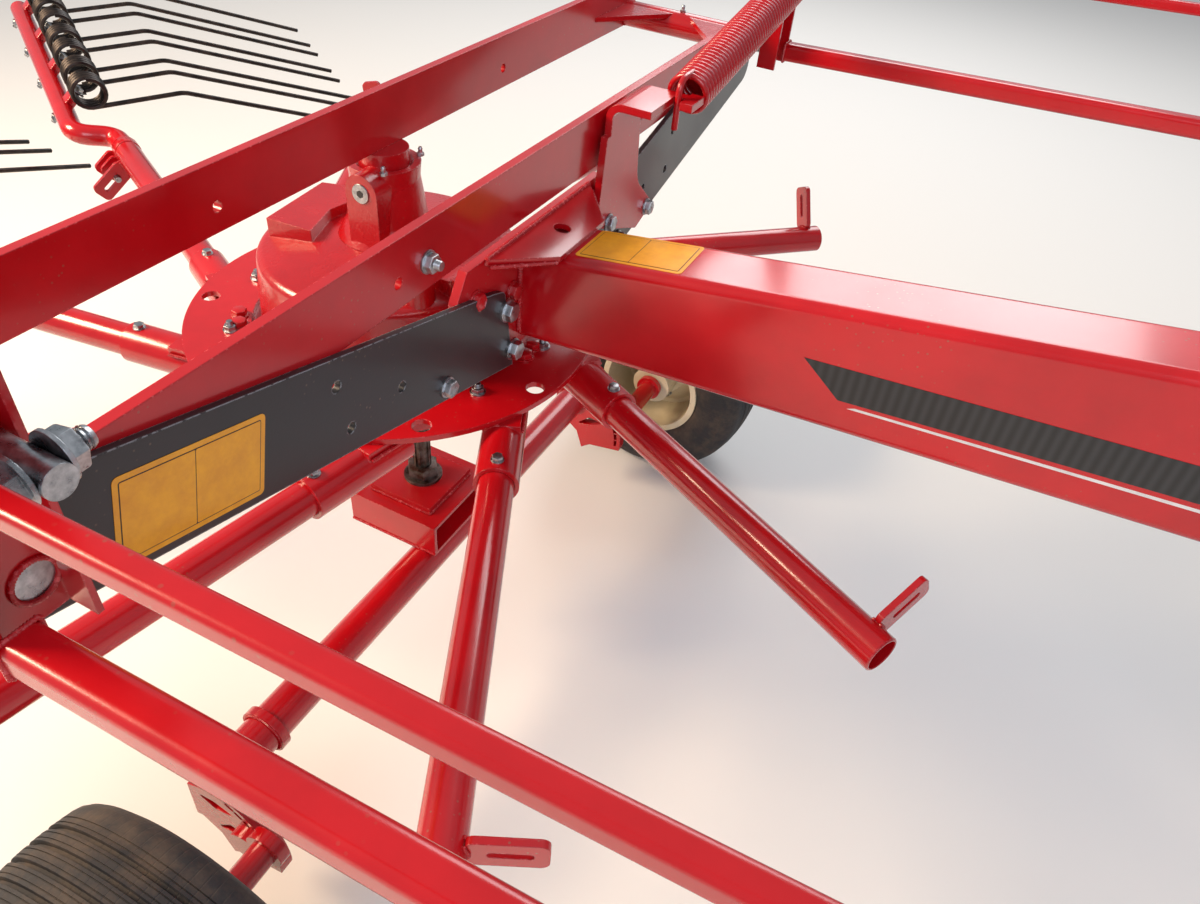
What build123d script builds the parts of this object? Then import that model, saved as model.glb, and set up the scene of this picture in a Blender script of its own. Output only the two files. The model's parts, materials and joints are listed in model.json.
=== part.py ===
from build123d import *
import os
from math import cos, hypot, radians, sin

# Folded single rotor rake, in millimetres. X points forward to the tractor, Y to the left, Z up.
# Everything is drawn about the rotor's upright axis with the ground at Z = 0, and saved about the
# centre of the top link bore.

# Road wheels
TYRE_R = 228
TYRE_W = 208
TYRE_CROWN = 7
BEAD_R = 110
BEAD_HALF = 82
RIM_WALL = 6
RIM_W = 176
RIM_LIP = 8
DISH_DEPTH = 24
WHEEL_X = 170
WHEEL_Y = 763
HUB_R = 45
HUB_W = 150
STUB_D = 40
TURN_FIT = 0.08

# Running gear
AXLE_D = 60
AXLE_X = 83
AXLE_Z = 300
AXLE_HALF = 466
AXLE_COLLAR_D = 74
AXLE_COLLAR = 14
CARRIAGE_BACK = -60
CARRIAGE_FRONT = 112
CARRIAGE_HALF = 85
CARRIAGE_H = 62
CARRIAGE_WALL = 6
HEAD_PLATE = 12
HEAD_HALF = 60
SECTOR_T = 22
SECTOR_R = 140
SECTOR_X = 30
SECTOR_Z = 150
SECTOR_HOLES = 8
SECTOR_SLOT = (16, 7)
SECTOR_GAP = 72
SECTOR_BOSS_D = 68
SPINDLE_D = 30
SPINDLE_X = 26
SPINDLE_Y = 6
SPINDLE_RIBS = 10

# Rotor
ARM_COUNT = 10
ARM_FIRST = -27.7
ARM_OFFSET = 183
ARM_Z = 688
ARM_D = 47
ARM_REACH = 815
SLEEVE_D = 59
SLEEVE_START = 172
SLEEVE_END = 325
SADDLE_L = 70
SADDLE_W = 48
SLIDE_FIT = 0.3
DISC_R = 298
DISC_IN_R = 205
DISC_T = 8
DISC_TOP = 726
DISC_HOLE_D = 26
DISC_HOLE_AT = 275
DISC_HOLE_FIRST = 25.5
DRUM_R = 148
DRUM_FLANGE_R = 230
DRUM_FLANGE = 12
DRUM_BOTTOM = 612
CORE_R = 62
DRUM_BORE_R = CORE_R + TURN_FIT
CORE_LIP_R = 84
CORE_LIP = 14
LIP_GAP = 0.3
LUG_T = 8
LUG_W = 38
LUG_REACH = 96
LUG_BACK = 22
LUG_SLOT_W = 9
LUG_SLOT_L = 42
LUG_SLOT_END = 14
SOCKET_DEPTH = 121

# Tine arms left on the rotor
TINE_BAR_D = 36
PLUG_D = 40
PLUG_DEPTH = 100
PLUG_OUT = 20
STOP_RING = 27
STOP_RING_D = ARM_D + 8
CRANK_START = ARM_REACH + 90
CRANK_END = CRANK_START + 50
CRANK_SIDE = 72
CRANK_UP = 26
CRANK_BEND = 30
TINE_BAR_END = 115
TINE_FIRST = ARM_REACH + 235
TINE_PITCH = 216
TINE_PAIRS = 4
TINE_BAR_REACH = TINE_FIRST + (TINE_PAIRS - 1) * TINE_PITCH + TINE_BAR_END
TINE_GAP = 118
TINE_WIRE = 9.5
TINE_BEND = 60
COIL_R = 31
COIL_L = 40
TINE_LENGTH = 500
TINE_KNEE = 240
TINE_DROP = 70

# Gear housing and column
BELL_R = 190
BELL_TOP_R = 182
BELL_BOTTOM = 734
BELL_EDGE = 838
BELL_TOP = 858
BELL_ROUND = 14
PAD_BACK = -158
PAD_FRONT = -72
PAD_LOW_Y = -84
PAD_HIGH_Y = 62
PAD_TOP = 869
COLUMN_FOOT_R = 70
COLUMN_R = 49
COLUMN_RIM = 962
CAP_R = 34
PLUG_LUG_X = 10
PLUG_LUG_HALF = 25
PLUG_LUG_REACH = 64
PLUG_LUG_Z = 940
BREATHER_X = 120
BREATHER_Y = -100
BREATHER_D = 44
BREATHER_TOP = 872
NECK_HALF = 72
NECK_WIDE = 150
NECK_BACK = 150
NECK_LOW = 806
NECK_HIGH = 930

# Beam
BEAM_HALF = 51
BEAM_BACK = 241
BEAM_FRONT = 1960
BEAM_PEAK_X = 1250
BEAM_LOW_BACK = 799
BEAM_LOW_FRONT = 898
BEAM_HIGH_BACK = 926
BEAM_HIGH_PEAK = 1066
BEAM_HIGH_FRONT = 1058
BEAM_ROUND = 13
EAR_T = 12
EAR_HALF = 188
EAR_SHOULDER = 166
EAR_LOW = 788
EAR_STEP = 915
EAR_HIGH = 949
GUSSET_T = 8
GUSSET_HALF = 130
GUSSET_L = 61
GUSSET_TILT = 8
GUSSET_HOLE_D = 22

# Cross bars, struts and guard hinges
BAR_T = 12
BAR_H = 75
REAR_BAR_X = 0
REAR_BAR_Z = 1018
COLUMN_TOP = REAR_BAR_Z - BAR_H / 2
FRONT_BAR_Z = 1003
BAR_HOLE_D = 13
BAR_HOLE_Y = 288
STRUT_X = BEAM_BACK + 4
STRUT_T = 8
STRUT_IN_Y = 76
STRUT_IN_Z = 773
STRUT_TOP_Y = 119
STRUT_TOP_Z = 901
STRUT_SLOPE = 0.247
STRUT_HOLES = ((305, 879), (388, 880), (401, 939))
STRUT_END = 740
HINGE_Y = 725
HINGE_Z = 1000
HINGE_ROUND = 30
BAR_HALF = HINGE_Y + HINGE_ROUND
PIVOT_D = 30
HINGE_TUBE_D = 44
HINGE_WEB_T = 8
HINGE_WEB_L = 95
PIVOT_BACK = -30

# Guards, folded up
GUARD_Y = 759
GUARD_Z = 987
GUARD_TUBE = 30
GUARD_ROUND = 8
GUARD_BACK = 307
GUARD_FRONT = 1360
GUARD_RAIL_Y = 764
GUARD_RAIL_Z = 1146
GUARD_RAIL = 16
GUARD_RAIL_ROUND = 4
GUARD_TILT = 2.2
POST_IN_Y = 705
POST_OUT_Y = 771
POST_DEPTH = 32
POST_WALL = 5
POST_LOW = 966
POST_HIGH = 1330
LOOP_TUBE = 26
LOOP_LOW = 1220
GUARD_TOP = 1960
GUARD_BEND = 120
POST_FRONT_RISE = 40

# Spring that helps lift the left guard, and the peg that it hooks on
SPRING_D = 70
SPRING_WIRE = 9
SPRING_COILS = 41
SPRING_X = 320
LOOP_R = 24
SPRING_IN_Y = 243
SPRING_IN_Z = 1050
PEG_D = 22
PEG_Y = 724
PEG_Z = 1124
PEG_FRONT = 358
HOOK_GAP = 0.3
ANCHOR_T = 10
ANCHOR_IN_Y = 122
ANCHOR_OUT_Y = 326
ANCHOR_LOW = 830
ANCHOR_BEND = 22
TAB_IN_Y = 150
NECK_W = 18
TAB_HEAD = 18

# Headstock
SWIVEL_X = BEAM_FRONT + 70
SWIVEL_D = 40
SWIVEL_EAR_R = 45
SWIVEL_EAR_T = 22
SWIVEL_GAP = 0.3
YOKE_T = 18
YOKE_HALF = 58
YOKE_HEAD = 12
MAST_X = SWIVEL_X + 120
MAST_T = 14
MAST_DEPTH = 70
LOWER_PIN_Z = 600
LOWER_PIN_D = 28
LOWER_PIN_HALF = 412
LOWER_PIN_L = 60
TOP_LINK_Z = 1110
TOP_LINK_X = MAST_X + 50
TOP_LINK_D = 25.5
TOP_LINK_HALF = 47
CROSS_TUBE = 70
UPRIGHT_IN = 88
UPRIGHT_T = 16
BRACE_Y = 330
BRACE_Z = 900
BRACE_W = 45

# Drive shaft end, between the two ears of the beam
PTO_D = 35
PTO_JOURNAL_D = 45
PTO_Z = 978
PTO_L = 110
PTO_BOSS_D = 84
PTO_BOSS = 22
PTO_SHOULDER = 6
PTO_BORE_L = 80

# Parking stand
STAND_X = BEAM_FRONT - 60
STAND_TUBE = 50
STAND_SLEEVE = 62
STAND_SLEEVE_LOW = 880
STAND_SLEEVE_HIGH = 1040
STAND_Y = -(BEAM_HALF + STAND_SLEEVE / 2)
STAND_GAP = 0.3
STAND_FOOT = 110
STAND_FOOT_T = 8
STAND_TOP = 1130
STAND_HOLE_D = 17
STAND_HOLE_PITCH = 100

# Origin of the saved pieces, at the centre of the top link bore
ORIGIN = (-TOP_LINK_X, 0, -TOP_LINK_Z)

os.makedirs("parts", exist_ok=True)


def save(name, shape):
    """Write one piece about the saved origin."""
    export_step(Location(ORIGIN) * shape, f"parts/{name}.step")


def block(x, y, z):
    """Box between two corners, each side given as (low, high)."""
    size = [side[1] - side[0] for side in (x, y, z)]
    middle = [(side[1] + side[0]) / 2 for side in (x, y, z)]
    return Pos(*middle) * Box(*size)


def upright(radius, low, high, x=0, y=0):
    """Upright round bar."""
    return Pos(x, y, (low + high) / 2) * Cylinder(radius, high - low)


def along_x(radius, low, high, y, z):
    """Round bar along X."""
    return Pos((low + high) / 2, y, z) * Rot(0, 90, 0) * Cylinder(radius, high - low)


def along_y(radius, low, high, x, z):
    """Round bar along Y."""
    return Pos(x, (low + high) / 2, z) * Rot(90, 0, 0) * Cylinder(radius, high - low)


def square_rail(size, radius, low, high, y, z):
    """Square tube with rounded corners along X."""
    end = Plane((low, y, z), x_dir=(0, 1, 0), z_dir=(1, 0, 0)) * RectangleRounded(size, size, radius)
    return extrude(end, high - low, dir=(1, 0, 0))


def bent_rod(points, radius, diameter):
    """Round bar along straight runs joined by arcs of one radius."""
    path = FilletPolyline(*points, radius=radius)
    return sweep(Plane(path @ 0, z_dir=path % 0) * Circle(diameter / 2), path=path)


def outline(points):
    """Closed flat outline, where a third number on a point rounds its corner."""
    face = make_face(Polyline(*[point[:2] for point in points], close=True))
    for x, y, radius in [point for point in points if len(point) == 3]:
        face = fillet(face.vertices().sort_by_distance((x, y, 0))[0], radius)
    return face


def plate_yz(points, x_low, x_high):
    """Flat plate whose outline is drawn in Y and Z."""
    face = Plane((x_low, 0, 0), x_dir=(0, 1, 0), z_dir=(1, 0, 0)) * outline(points)
    return extrude(face, x_high - x_low, dir=(1, 0, 0))


def plate_xz(points, y_low, y_high):
    """Flat plate whose outline is drawn in X and Z."""
    face = Plane((0, y_low, 0), x_dir=(1, 0, 0), z_dir=(0, -1, 0)) * outline(points)
    return extrude(face, y_high - y_low, dir=(0, 1, 0))


def plate_xy(points, z_low, z_high):
    """Flat plate whose outline is drawn in X and Y."""
    return extrude(Pos(0, 0, z_low) * outline(points), z_high - z_low, dir=(0, 0, 1))


def turned(points):
    """Round piece about the rotor axis, from an outline of radius and height."""
    return revolve(Plane.XZ * outline(points), axis=Axis.Z)


def other_side(shape):
    """The same piece on the left side."""
    return mirror(shape, about=Plane.XZ)


def save_pair(name, right):
    """Write a right piece and its left twin."""
    save(f"{name}_right", right)
    save(f"{name}_left", other_side(right))


def arm_place(index):
    """Location on an arm: X runs out along it, Y across it and Z up."""
    return Rot(0, 0, ARM_FIRST + index * 360 / ARM_COUNT) * Pos(0, ARM_OFFSET, ARM_Z)


# Road wheels. Each outline is radius against distance across the wheel.

WHEEL_PLACE = Pos(WHEEL_X, -WHEEL_Y, TYRE_R)


def tyre():
    half = TYRE_W / 2
    tread = TYRE_R - TYRE_CROWN
    foot = (BEAD_R + RIM_LIP, BEAD_HALF)
    flank = ((BEAD_R + TYRE_R) / 2, half)
    shoulder = (TYRE_R - 3.5 * TYRE_CROWN, half - TYRE_CROWN)
    edge = (TYRE_R - 1.9 * TYRE_CROWN, half - 2.4 * TYRE_CROWN)
    tread_end = (tread, half - 5 * TYRE_CROWN)

    def low(point):
        return (point[0], -point[1])

    ring = Polyline(low(foot), (BEAD_R, -BEAD_HALF), (BEAD_R, BEAD_HALF), foot)
    ring += ThreePointArc(foot, flank, shoulder)
    ring += ThreePointArc(shoulder, edge, tread_end)
    ring += ThreePointArc(tread_end, (TYRE_R, 0), low(tread_end))
    ring += ThreePointArc(low(tread_end), low(edge), low(shoulder))
    ring += ThreePointArc(low(shoulder), low(flank), low(foot))
    return WHEEL_PLACE * revolve(make_face(ring), axis=Axis.Y)


def rim():
    lip = BEAD_R + RIM_LIP
    inner = BEAD_R - RIM_WALL
    half = RIM_W / 2
    seat = BEAD_HALF + 0.3
    drop = BEAD_R - 3 * RIM_WALL
    crown = HUB_R + 2 * RIM_WALL
    barrel = outline([(inner, -half), (lip, -half), (lip, -seat), (BEAD_R, -seat), (BEAD_R, seat), (lip, seat),
                      (lip, half), (inner, half)])
    dish = outline([(inner + 1, -DISH_DEPTH), (drop, -DISH_DEPTH), (crown, 0), (HUB_R - 1, 0), (HUB_R - 1, RIM_WALL),
                    (crown, RIM_WALL), (drop, RIM_WALL - DISH_DEPTH), (inner + 1, RIM_WALL - DISH_DEPTH)])
    hub = Rot(90, 0, 0) * Cylinder(HUB_R, HUB_W)
    bore = Rot(90, 0, 0) * Cylinder(STUB_D / 2 + TURN_FIT, HUB_W + 2)
    return WHEEL_PLACE * (revolve(barrel, axis=Axis.Y) + revolve(dish, axis=Axis.Y) + hub - bore)


save_pair("tyre", tyre())
save_pair("rim", rim())


# Running gear: box, head plate, axle tube, and the sectors that carry the wheels

CARRIAGE_TOP = AXLE_Z + AXLE_D / 2 + CARRIAGE_H
HEAD_TOP = CARRIAGE_TOP + HEAD_PLATE


def carriage_box():
    low = AXLE_Z + AXLE_D / 2
    x = (CARRIAGE_BACK, CARRIAGE_FRONT)
    wall = CARRIAGE_WALL
    outer = block(x, (-CARRIAGE_HALF, CARRIAGE_HALF), (low, CARRIAGE_TOP))
    inner = block((x[0] - 1, x[1] + 1), (-CARRIAGE_HALF + wall, CARRIAGE_HALF - wall),
                  (low + wall, CARRIAGE_TOP - wall))
    return outer - inner


def axle_tube():
    tube = along_y(AXLE_D / 2, -AXLE_HALF, AXLE_HALF, AXLE_X, AXLE_Z)
    collar = along_y(AXLE_COLLAR_D / 2, -AXLE_HALF, -AXLE_HALF + AXLE_COLLAR, AXLE_X, AXLE_Z)
    return tube + collar + other_side(collar)


def height_spindle():
    high = BELL_BOTTOM
    rib = SPINDLE_D / 2 - 2
    core = upright(rib, HEAD_TOP, high, SPINDLE_X, SPINDLE_Y)
    ribs = [
        Pos(SPINDLE_X, SPINDLE_Y, (HEAD_TOP + high) / 2) * Rot(0, 0, turn * 360 / SPINDLE_RIBS)
        * Pos(rib, 0, 0) * Box(4, 4, high - HEAD_TOP)
        for turn in range(SPINDLE_RIBS)
    ]
    return core + ribs


save("carriage_box", carriage_box())
save("carriage_plate", block(
    (SPINDLE_X - HEAD_HALF, SPINDLE_X + HEAD_HALF), (-HEAD_HALF, HEAD_HALF), (CARRIAGE_TOP, HEAD_TOP)))
save("axle_tube", axle_tube())
save("height_spindle", height_spindle())


def sector_point(turn, reach=SECTOR_R):
    """Point about the centre of the sector's arc."""
    return (SECTOR_X + reach * cos(radians(turn)), SECTOR_Z + reach * sin(radians(turn)))


# The arc of the sector runs between these two angles
ARC_LOW = -7
ARC_HIGH = 64

# Corners of the sector plate and of its two windows, from the centre of its arc
SECTOR_BACK = ((65, -31), (44, -47), (29, -5), (-2, 19), (-13, 15), (-9, 101), (50, 127))
SECTOR_WINDOWS = (((7, 90, 3), (38, 95, 6), (76, 83, 3), (38, 73, 6)),
                  ((27, 17, 3), (58, 46, 6), (94, 42, 3), (62, 25, 6)))


def wheel_sector():
    y_low = -AXLE_HALF - SECTOR_GAP - SECTOR_T
    y_high = y_low + SECTOR_T
    back = [(SECTOR_X + x, SECTOR_Z + z) for x, z in SECTOR_BACK]
    edge = Polyline(sector_point(ARC_LOW), *back, sector_point(ARC_HIGH))
    edge += ThreePointArc(sector_point(ARC_HIGH), sector_point((ARC_LOW + ARC_HIGH) / 2), sector_point(ARC_LOW))
    face = Plane((0, y_low, 0), x_dir=(1, 0, 0), z_dir=(0, -1, 0)) * make_face(edge)
    fan = extrude(face, SECTOR_T, dir=(0, 1, 0))
    for turn in range(SECTOR_HOLES):
        angle = ARC_LOW + 7 + turn * (ARC_HIGH - ARC_LOW - 14) / (SECTOR_HOLES - 1)
        x, z = sector_point(angle, SECTOR_R - 12)
        fan -= (Pos(x, (y_low + y_high) / 2, z) * Rot(0, 90 - angle, 0)
                * Box(SECTOR_SLOT[0], SECTOR_T + 2, SECTOR_SLOT[1]))
    for window in SECTOR_WINDOWS:
        corners = [(SECTOR_X + x, SECTOR_Z + z, radius) for x, z, radius in window]
        fan -= plate_xz(corners, y_low - 1, y_high + 1)
    link = along_y(AXLE_D / 2, y_high - 1, -AXLE_HALF, AXLE_X, AXLE_Z)
    boss = along_y(SECTOR_BOSS_D / 2, y_low + 4, y_high, AXLE_X, AXLE_Z)
    foot_x, foot_z = sector_point(25, SECTOR_R - 28)
    crank = [along_y(STUB_D / 2 + 10, y_low - 16, y_low + 2, x, z) for x, z in ((foot_x, foot_z), (WHEEL_X, TYRE_R))]
    stub = along_y(STUB_D / 2, -WHEEL_Y - HUB_W / 2 - 14, y_low, WHEEL_X, TYRE_R)
    collar = along_y(STUB_D / 2 + 8, -WHEEL_Y + HUB_W / 2 + 5, -WHEEL_Y + HUB_W / 2 + 17, WHEEL_X, TYRE_R)
    return fan + link + boss + crank + stub + collar


save_pair("wheel_sector", wheel_sector())

# Rotor: disc, drum, sleeves and arms

DISC_LOW = DISC_TOP - DISC_T


def rotor_disc():
    disc = upright(DISC_R, DISC_LOW, DISC_TOP) - upright(DISC_IN_R, DISC_LOW - 1, DISC_TOP + 1)
    for index in range(ARM_COUNT):
        turn = Rot(0, 0, DISC_HOLE_FIRST + index * 360 / ARM_COUNT)
        disc -= turn * upright(DISC_HOLE_D / 2, DISC_LOW - 1, DISC_TOP + 1, DISC_HOLE_AT)
    return disc


def rotor_drum():
    flange = upright(DRUM_FLANGE_R, DISC_LOW - DRUM_FLANGE, DISC_LOW)
    return upright(DRUM_R, DRUM_BOTTOM, DISC_LOW) + flange - upright(DRUM_BORE_R, DRUM_BOTTOM - 1, DISC_LOW + 1)


def arm_sleeve():
    shell = along_x(SLEEVE_D / 2, SLEEVE_START, SLEEVE_END, 0, 0)
    saddle = block((SLEEVE_START, SLEEVE_START + SADDLE_L), (-SADDLE_W / 2, SADDLE_W / 2), (0, DISC_LOW - ARM_Z))
    return shell + saddle - along_x(ARM_D / 2 + SLIDE_FIT, SLEEVE_START - 1, SLEEVE_END + 1, 0, 0)


# Lean of each arm's locking lug from level, in degrees, arm by arm
LUG_LEANS = (27, 45, 62, 72, 82, 90, 75, 45, 15, 0)


def rotor_arm(lean):
    tube = along_x(ARM_D / 2, SLEEVE_START, ARM_REACH, 0, 0)
    plate_x = (ARM_REACH - LUG_BACK - LUG_T, ARM_REACH - LUG_BACK)
    plate = block(plate_x, (0, LUG_REACH), (-LUG_W / 2, LUG_W / 2))
    slot = block((plate_x[0] - 1, plate_x[1] + 1), (LUG_REACH - LUG_SLOT_L - LUG_SLOT_END, LUG_REACH - LUG_SLOT_END),
                 (-LUG_SLOT_W / 2, LUG_SLOT_W / 2))
    socket = along_x(PLUG_D / 2 + SLIDE_FIT, ARM_REACH - SOCKET_DEPTH, ARM_REACH + 1, 0, 0)
    return tube + Rot(lean, 0, 0) * (plate - slot) - socket


save("rotor_disc", rotor_disc())
save("rotor_drum", rotor_drum())
save("arm_sleeves", Compound([arm_place(index) * arm_sleeve() for index in range(ARM_COUNT)]))
save("rotor_arms", Compound([
    arm_place(index) * rotor_arm(LUG_LEANS[index]) for index in range(ARM_COUNT)]))


# Two tine arms stay plugged into the rear arms

def tine_bar():
    crank = (CRANK_SIDE, CRANK_UP)
    points = [
        (ARM_REACH - PLUG_DEPTH, 0, 0), (CRANK_START, 0, 0), (CRANK_END, *crank), (TINE_BAR_REACH, *crank)]
    bar = bent_rod(points, CRANK_BEND, TINE_BAR_D)
    plug = along_x(PLUG_D / 2, ARM_REACH - PLUG_DEPTH, ARM_REACH + PLUG_OUT, 0, 0)
    collar = along_x(STOP_RING_D / 2, ARM_REACH + 0.5, ARM_REACH + STOP_RING, 0, 0)
    return bar + plug + collar


def tine(reach):
    """One finger with its coil round the bar."""
    bore = Rot(0, 90, 0) * Cylinder(TINE_BAR_D / 2 + SLIDE_FIT, COIL_L + 2)
    coil = Rot(0, 90, 0) * Cylinder(COIL_R, COIL_L)
    rise = COIL_R - TINE_WIRE / 2
    points = [(0, 0, rise), (0, -TINE_KNEE, rise + 4), (0, -TINE_LENGTH, rise - TINE_DROP)]
    finger = bent_rod(points, TINE_BEND, TINE_WIRE)
    return Pos(reach, CRANK_SIDE, CRANK_UP) * (coil + finger - bore)


def tine_set():
    reaches = [
        TINE_FIRST + pair * TINE_PITCH + side * TINE_GAP / 2
        for pair in range(TINE_PAIRS) for side in (-1, 1)]
    return [tine(reach) for reach in reaches]


for label, index in (("left", 5), ("rear", 6)):
    save(f"tine_bar_{label}", arm_place(index) * tine_bar())
    save(f"tines_{label}", Compound([arm_place(index) * finger for finger in tine_set()]))


# Gear housing: bell, pad, breather and the neck that the beam bolts to

EAR_BACK = BEAM_BACK - EAR_T


def gear_housing():
    bell = turned([(0, BELL_BOTTOM), (BELL_R, BELL_BOTTOM), (BELL_TOP_R, BELL_EDGE, BELL_ROUND),
                   (COLUMN_FOOT_R, BELL_TOP), (0, BELL_TOP)])
    pad = plate_xy([
        (PAD_BACK + 14, PAD_LOW_Y), (PAD_BACK, PAD_HIGH_Y - 14), (PAD_BACK + 40, PAD_HIGH_Y, 8),
        (PAD_FRONT - 14, PAD_HIGH_Y - 40, 10), (PAD_FRONT - 20, PAD_LOW_Y + 70, 12), (PAD_FRONT, PAD_LOW_Y + 6)],
        BELL_EDGE - 20, PAD_TOP)
    breather = upright(BREATHER_D / 2, BELL_EDGE - 20, BREATHER_TOP, BREATHER_X, BREATHER_Y)
    side = plate_xz([(COLUMN_FOOT_R + 10, BELL_BOTTOM + 6), (EAR_BACK, NECK_LOW), (EAR_BACK, NECK_HIGH),
                     (NECK_BACK, BELL_TOP + 4, 30), (COLUMN_FOOT_R + 10, BELL_TOP)], -NECK_WIDE, NECK_WIDE)
    top = plate_xy([
        (COLUMN_FOOT_R, -NECK_HALF), (NECK_BACK, -NECK_HALF, 30), (EAR_BACK, -NECK_WIDE), (EAR_BACK, NECK_WIDE),
        (NECK_BACK, NECK_HALF, 30), (COLUMN_FOOT_R, NECK_HALF)], BELL_BOTTOM, EAR_HIGH)
    return bell + pad + breather + (side & top)


def hub_column():
    post = turned([
        (0, BELL_TOP), (COLUMN_FOOT_R, BELL_TOP), (COLUMN_R + 6, BELL_TOP + 26, 20),
        (COLUMN_R - 2, COLUMN_RIM - 20), (COLUMN_R, COLUMN_RIM), (CAP_R + 5, COLUMN_RIM),
        (CAP_R, COLUMN_RIM - 5), (CAP_R, COLUMN_TOP), (0, COLUMN_TOP)])
    low_y = -PLUG_LUG_REACH
    lug = block((PLUG_LUG_X - PLUG_LUG_HALF, PLUG_LUG_X + PLUG_LUG_HALF), (low_y, 0), (BELL_TOP, PLUG_LUG_Z))
    return post + lug + along_y(PLUG_LUG_HALF, low_y, 0, PLUG_LUG_X, PLUG_LUG_Z)


def hub_core():
    """Still core that the rotor turns on, with a lip under the drum."""
    low = DRUM_BOTTOM - LIP_GAP - CORE_LIP
    core = upright(CORE_R, low, BELL_BOTTOM) + upright(CORE_LIP_R, low, low + CORE_LIP)
    return core - upright(SPINDLE_D / 2 + 1, low - 1, BELL_BOTTOM + 1, SPINDLE_X, SPINDLE_Y)


save("gear_housing", gear_housing())
save("hub_column", hub_column())
save("hub_core", hub_core())


# Beam, its gusset over the end plate, the two swivel ears and the bore for the drive shaft

BOSS_FRONT = BEAM_FRONT + PTO_BOSS
PTO_X = BOSS_FRONT + PTO_SHOULDER
EAR_LEVELS = (
    (BEAM_LOW_FRONT, BEAM_LOW_FRONT + SWIVEL_EAR_T),
    (BEAM_HIGH_FRONT - SWIVEL_EAR_T, BEAM_HIGH_FRONT))


def beam_gusset():
    front_half = BEAM_HALF + 7
    plate = plate_xy([(0, -GUSSET_HALF), (GUSSET_L, -front_half), (GUSSET_L, front_half), (0, GUSSET_HALF)],
                     0, GUSSET_T)
    plate -= upright(GUSSET_HOLE_D / 2, -1, GUSSET_T + 1, GUSSET_L / 2)
    placed = Pos(BEAM_BACK, 0, EAR_HIGH - GUSSET_T) * Rot(0, GUSSET_TILT, 0) * plate
    return placed - block((EAR_BACK, BEAM_BACK), (-GUSSET_HALF, GUSSET_HALF), (EAR_LOW, EAR_HIGH + GUSSET_T))


def swivel_ear(low, high):
    tongue = block((BEAM_FRONT - 20, SWIVEL_X), (-SWIVEL_EAR_R, SWIVEL_EAR_R), (low, high))
    bore = upright(SWIVEL_D / 2 + TURN_FIT, low - 1, high + 1, SWIVEL_X)
    return tongue + upright(SWIVEL_EAR_R, low, high, SWIVEL_X) - bore


def main_beam():
    body = plate_xz([
        (BEAM_BACK, BEAM_LOW_BACK), (BEAM_FRONT, BEAM_LOW_FRONT), (BEAM_FRONT, BEAM_HIGH_FRONT),
        (BEAM_PEAK_X, BEAM_HIGH_PEAK), (BEAM_BACK, BEAM_HIGH_BACK)], -BEAM_HALF, BEAM_HALF)
    long_edges = [edge for edge in body.edges() if edge.length > BEAM_FRONT / 4]
    body = fillet(long_edges, BEAM_ROUND)
    for level in EAR_LEVELS:
        body += swivel_ear(*level)
    body += beam_gusset()
    return body - along_x(PTO_JOURNAL_D / 2 + 3, BOSS_FRONT - PTO_BORE_L - 5, BEAM_FRONT + 1, 0, PTO_Z)


def beam_end_plate():
    right = [(-EAR_SHOULDER, EAR_HIGH), (-EAR_HALF, EAR_STEP, 8), (-EAR_HALF, EAR_LOW + 12),
             (-EAR_SHOULDER + 46, EAR_LOW, 12)]
    left = [(-point[0], *point[1:]) for point in reversed(right)]
    return plate_yz(right + left, EAR_BACK, BEAM_BACK)


save("main_beam", main_beam())
save("beam_end_plate", beam_end_plate())
save("drive_bearing", along_x(PTO_BOSS_D / 2, BEAM_FRONT, BOSS_FRONT, 0, PTO_Z)
     - along_x(PTO_JOURNAL_D / 2 + TURN_FIT, BEAM_FRONT - 1, BOSS_FRONT + 1, 0, PTO_Z))
save("drive_stub", along_x(PTO_JOURNAL_D / 2, BOSS_FRONT - PTO_BORE_L, PTO_X, 0, PTO_Z)
     + along_x(PTO_D / 2, PTO_X, PTO_X + PTO_L, 0, PTO_Z))

# Cross bars and struts, whose outer ends carry the guard hinges

FRONT_BAR_X = EAR_BACK + BAR_T / 2
HINGE_BORE = PIVOT_D / 2 + TURN_FIT


def cross_bar(x, z):
    low = z - BAR_H / 2
    high = z + BAR_H / 2
    span = (x - BAR_T / 2, x + BAR_T / 2)
    bar = plate_yz([(-BAR_HALF, low, HINGE_ROUND), (BAR_HALF, low, HINGE_ROUND), (BAR_HALF, high, HINGE_ROUND),
                    (-BAR_HALF, high, HINGE_ROUND)], *span)
    for side in (-1, 1):
        bar -= along_x(HINGE_BORE, span[0] - 1, span[1] + 1, side * HINGE_Y, HINGE_Z)
        bar -= along_x(BAR_HOLE_D / 2, span[0] - 1, span[1] + 1, side * BAR_HOLE_Y, z - 9)
    return bar


def strut():
    span = (STRUT_X - STRUT_T / 2, STRUT_X + STRUT_T / 2)
    low_end = STRUT_IN_Z + STRUT_SLOPE * (STRUT_END - STRUT_IN_Y)
    high_end = STRUT_TOP_Z + STRUT_SLOPE * (STRUT_END - STRUT_TOP_Y)
    flat = plate_yz([
        (-STRUT_IN_Y, STRUT_IN_Z), (-STRUT_TOP_Y + 22, STRUT_TOP_Z - 8, 10), (-STRUT_TOP_Y, STRUT_TOP_Z),
        (-STRUT_END, high_end, HINGE_ROUND), (-STRUT_END, low_end, HINGE_ROUND)], *span)
    for y, z in STRUT_HOLES:
        flat -= along_x(BAR_HOLE_D / 2, span[0] - 1, span[1] + 1, -y, z)
    return flat - along_x(HINGE_BORE, span[0] - 1, span[1] + 1, -HINGE_Y, HINGE_Z)


save("cross_bar_rear", cross_bar(REAR_BAR_X, REAR_BAR_Z))
save("cross_bar_front", cross_bar(FRONT_BAR_X, FRONT_BAR_Z))
save_pair("strut", strut())


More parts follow.
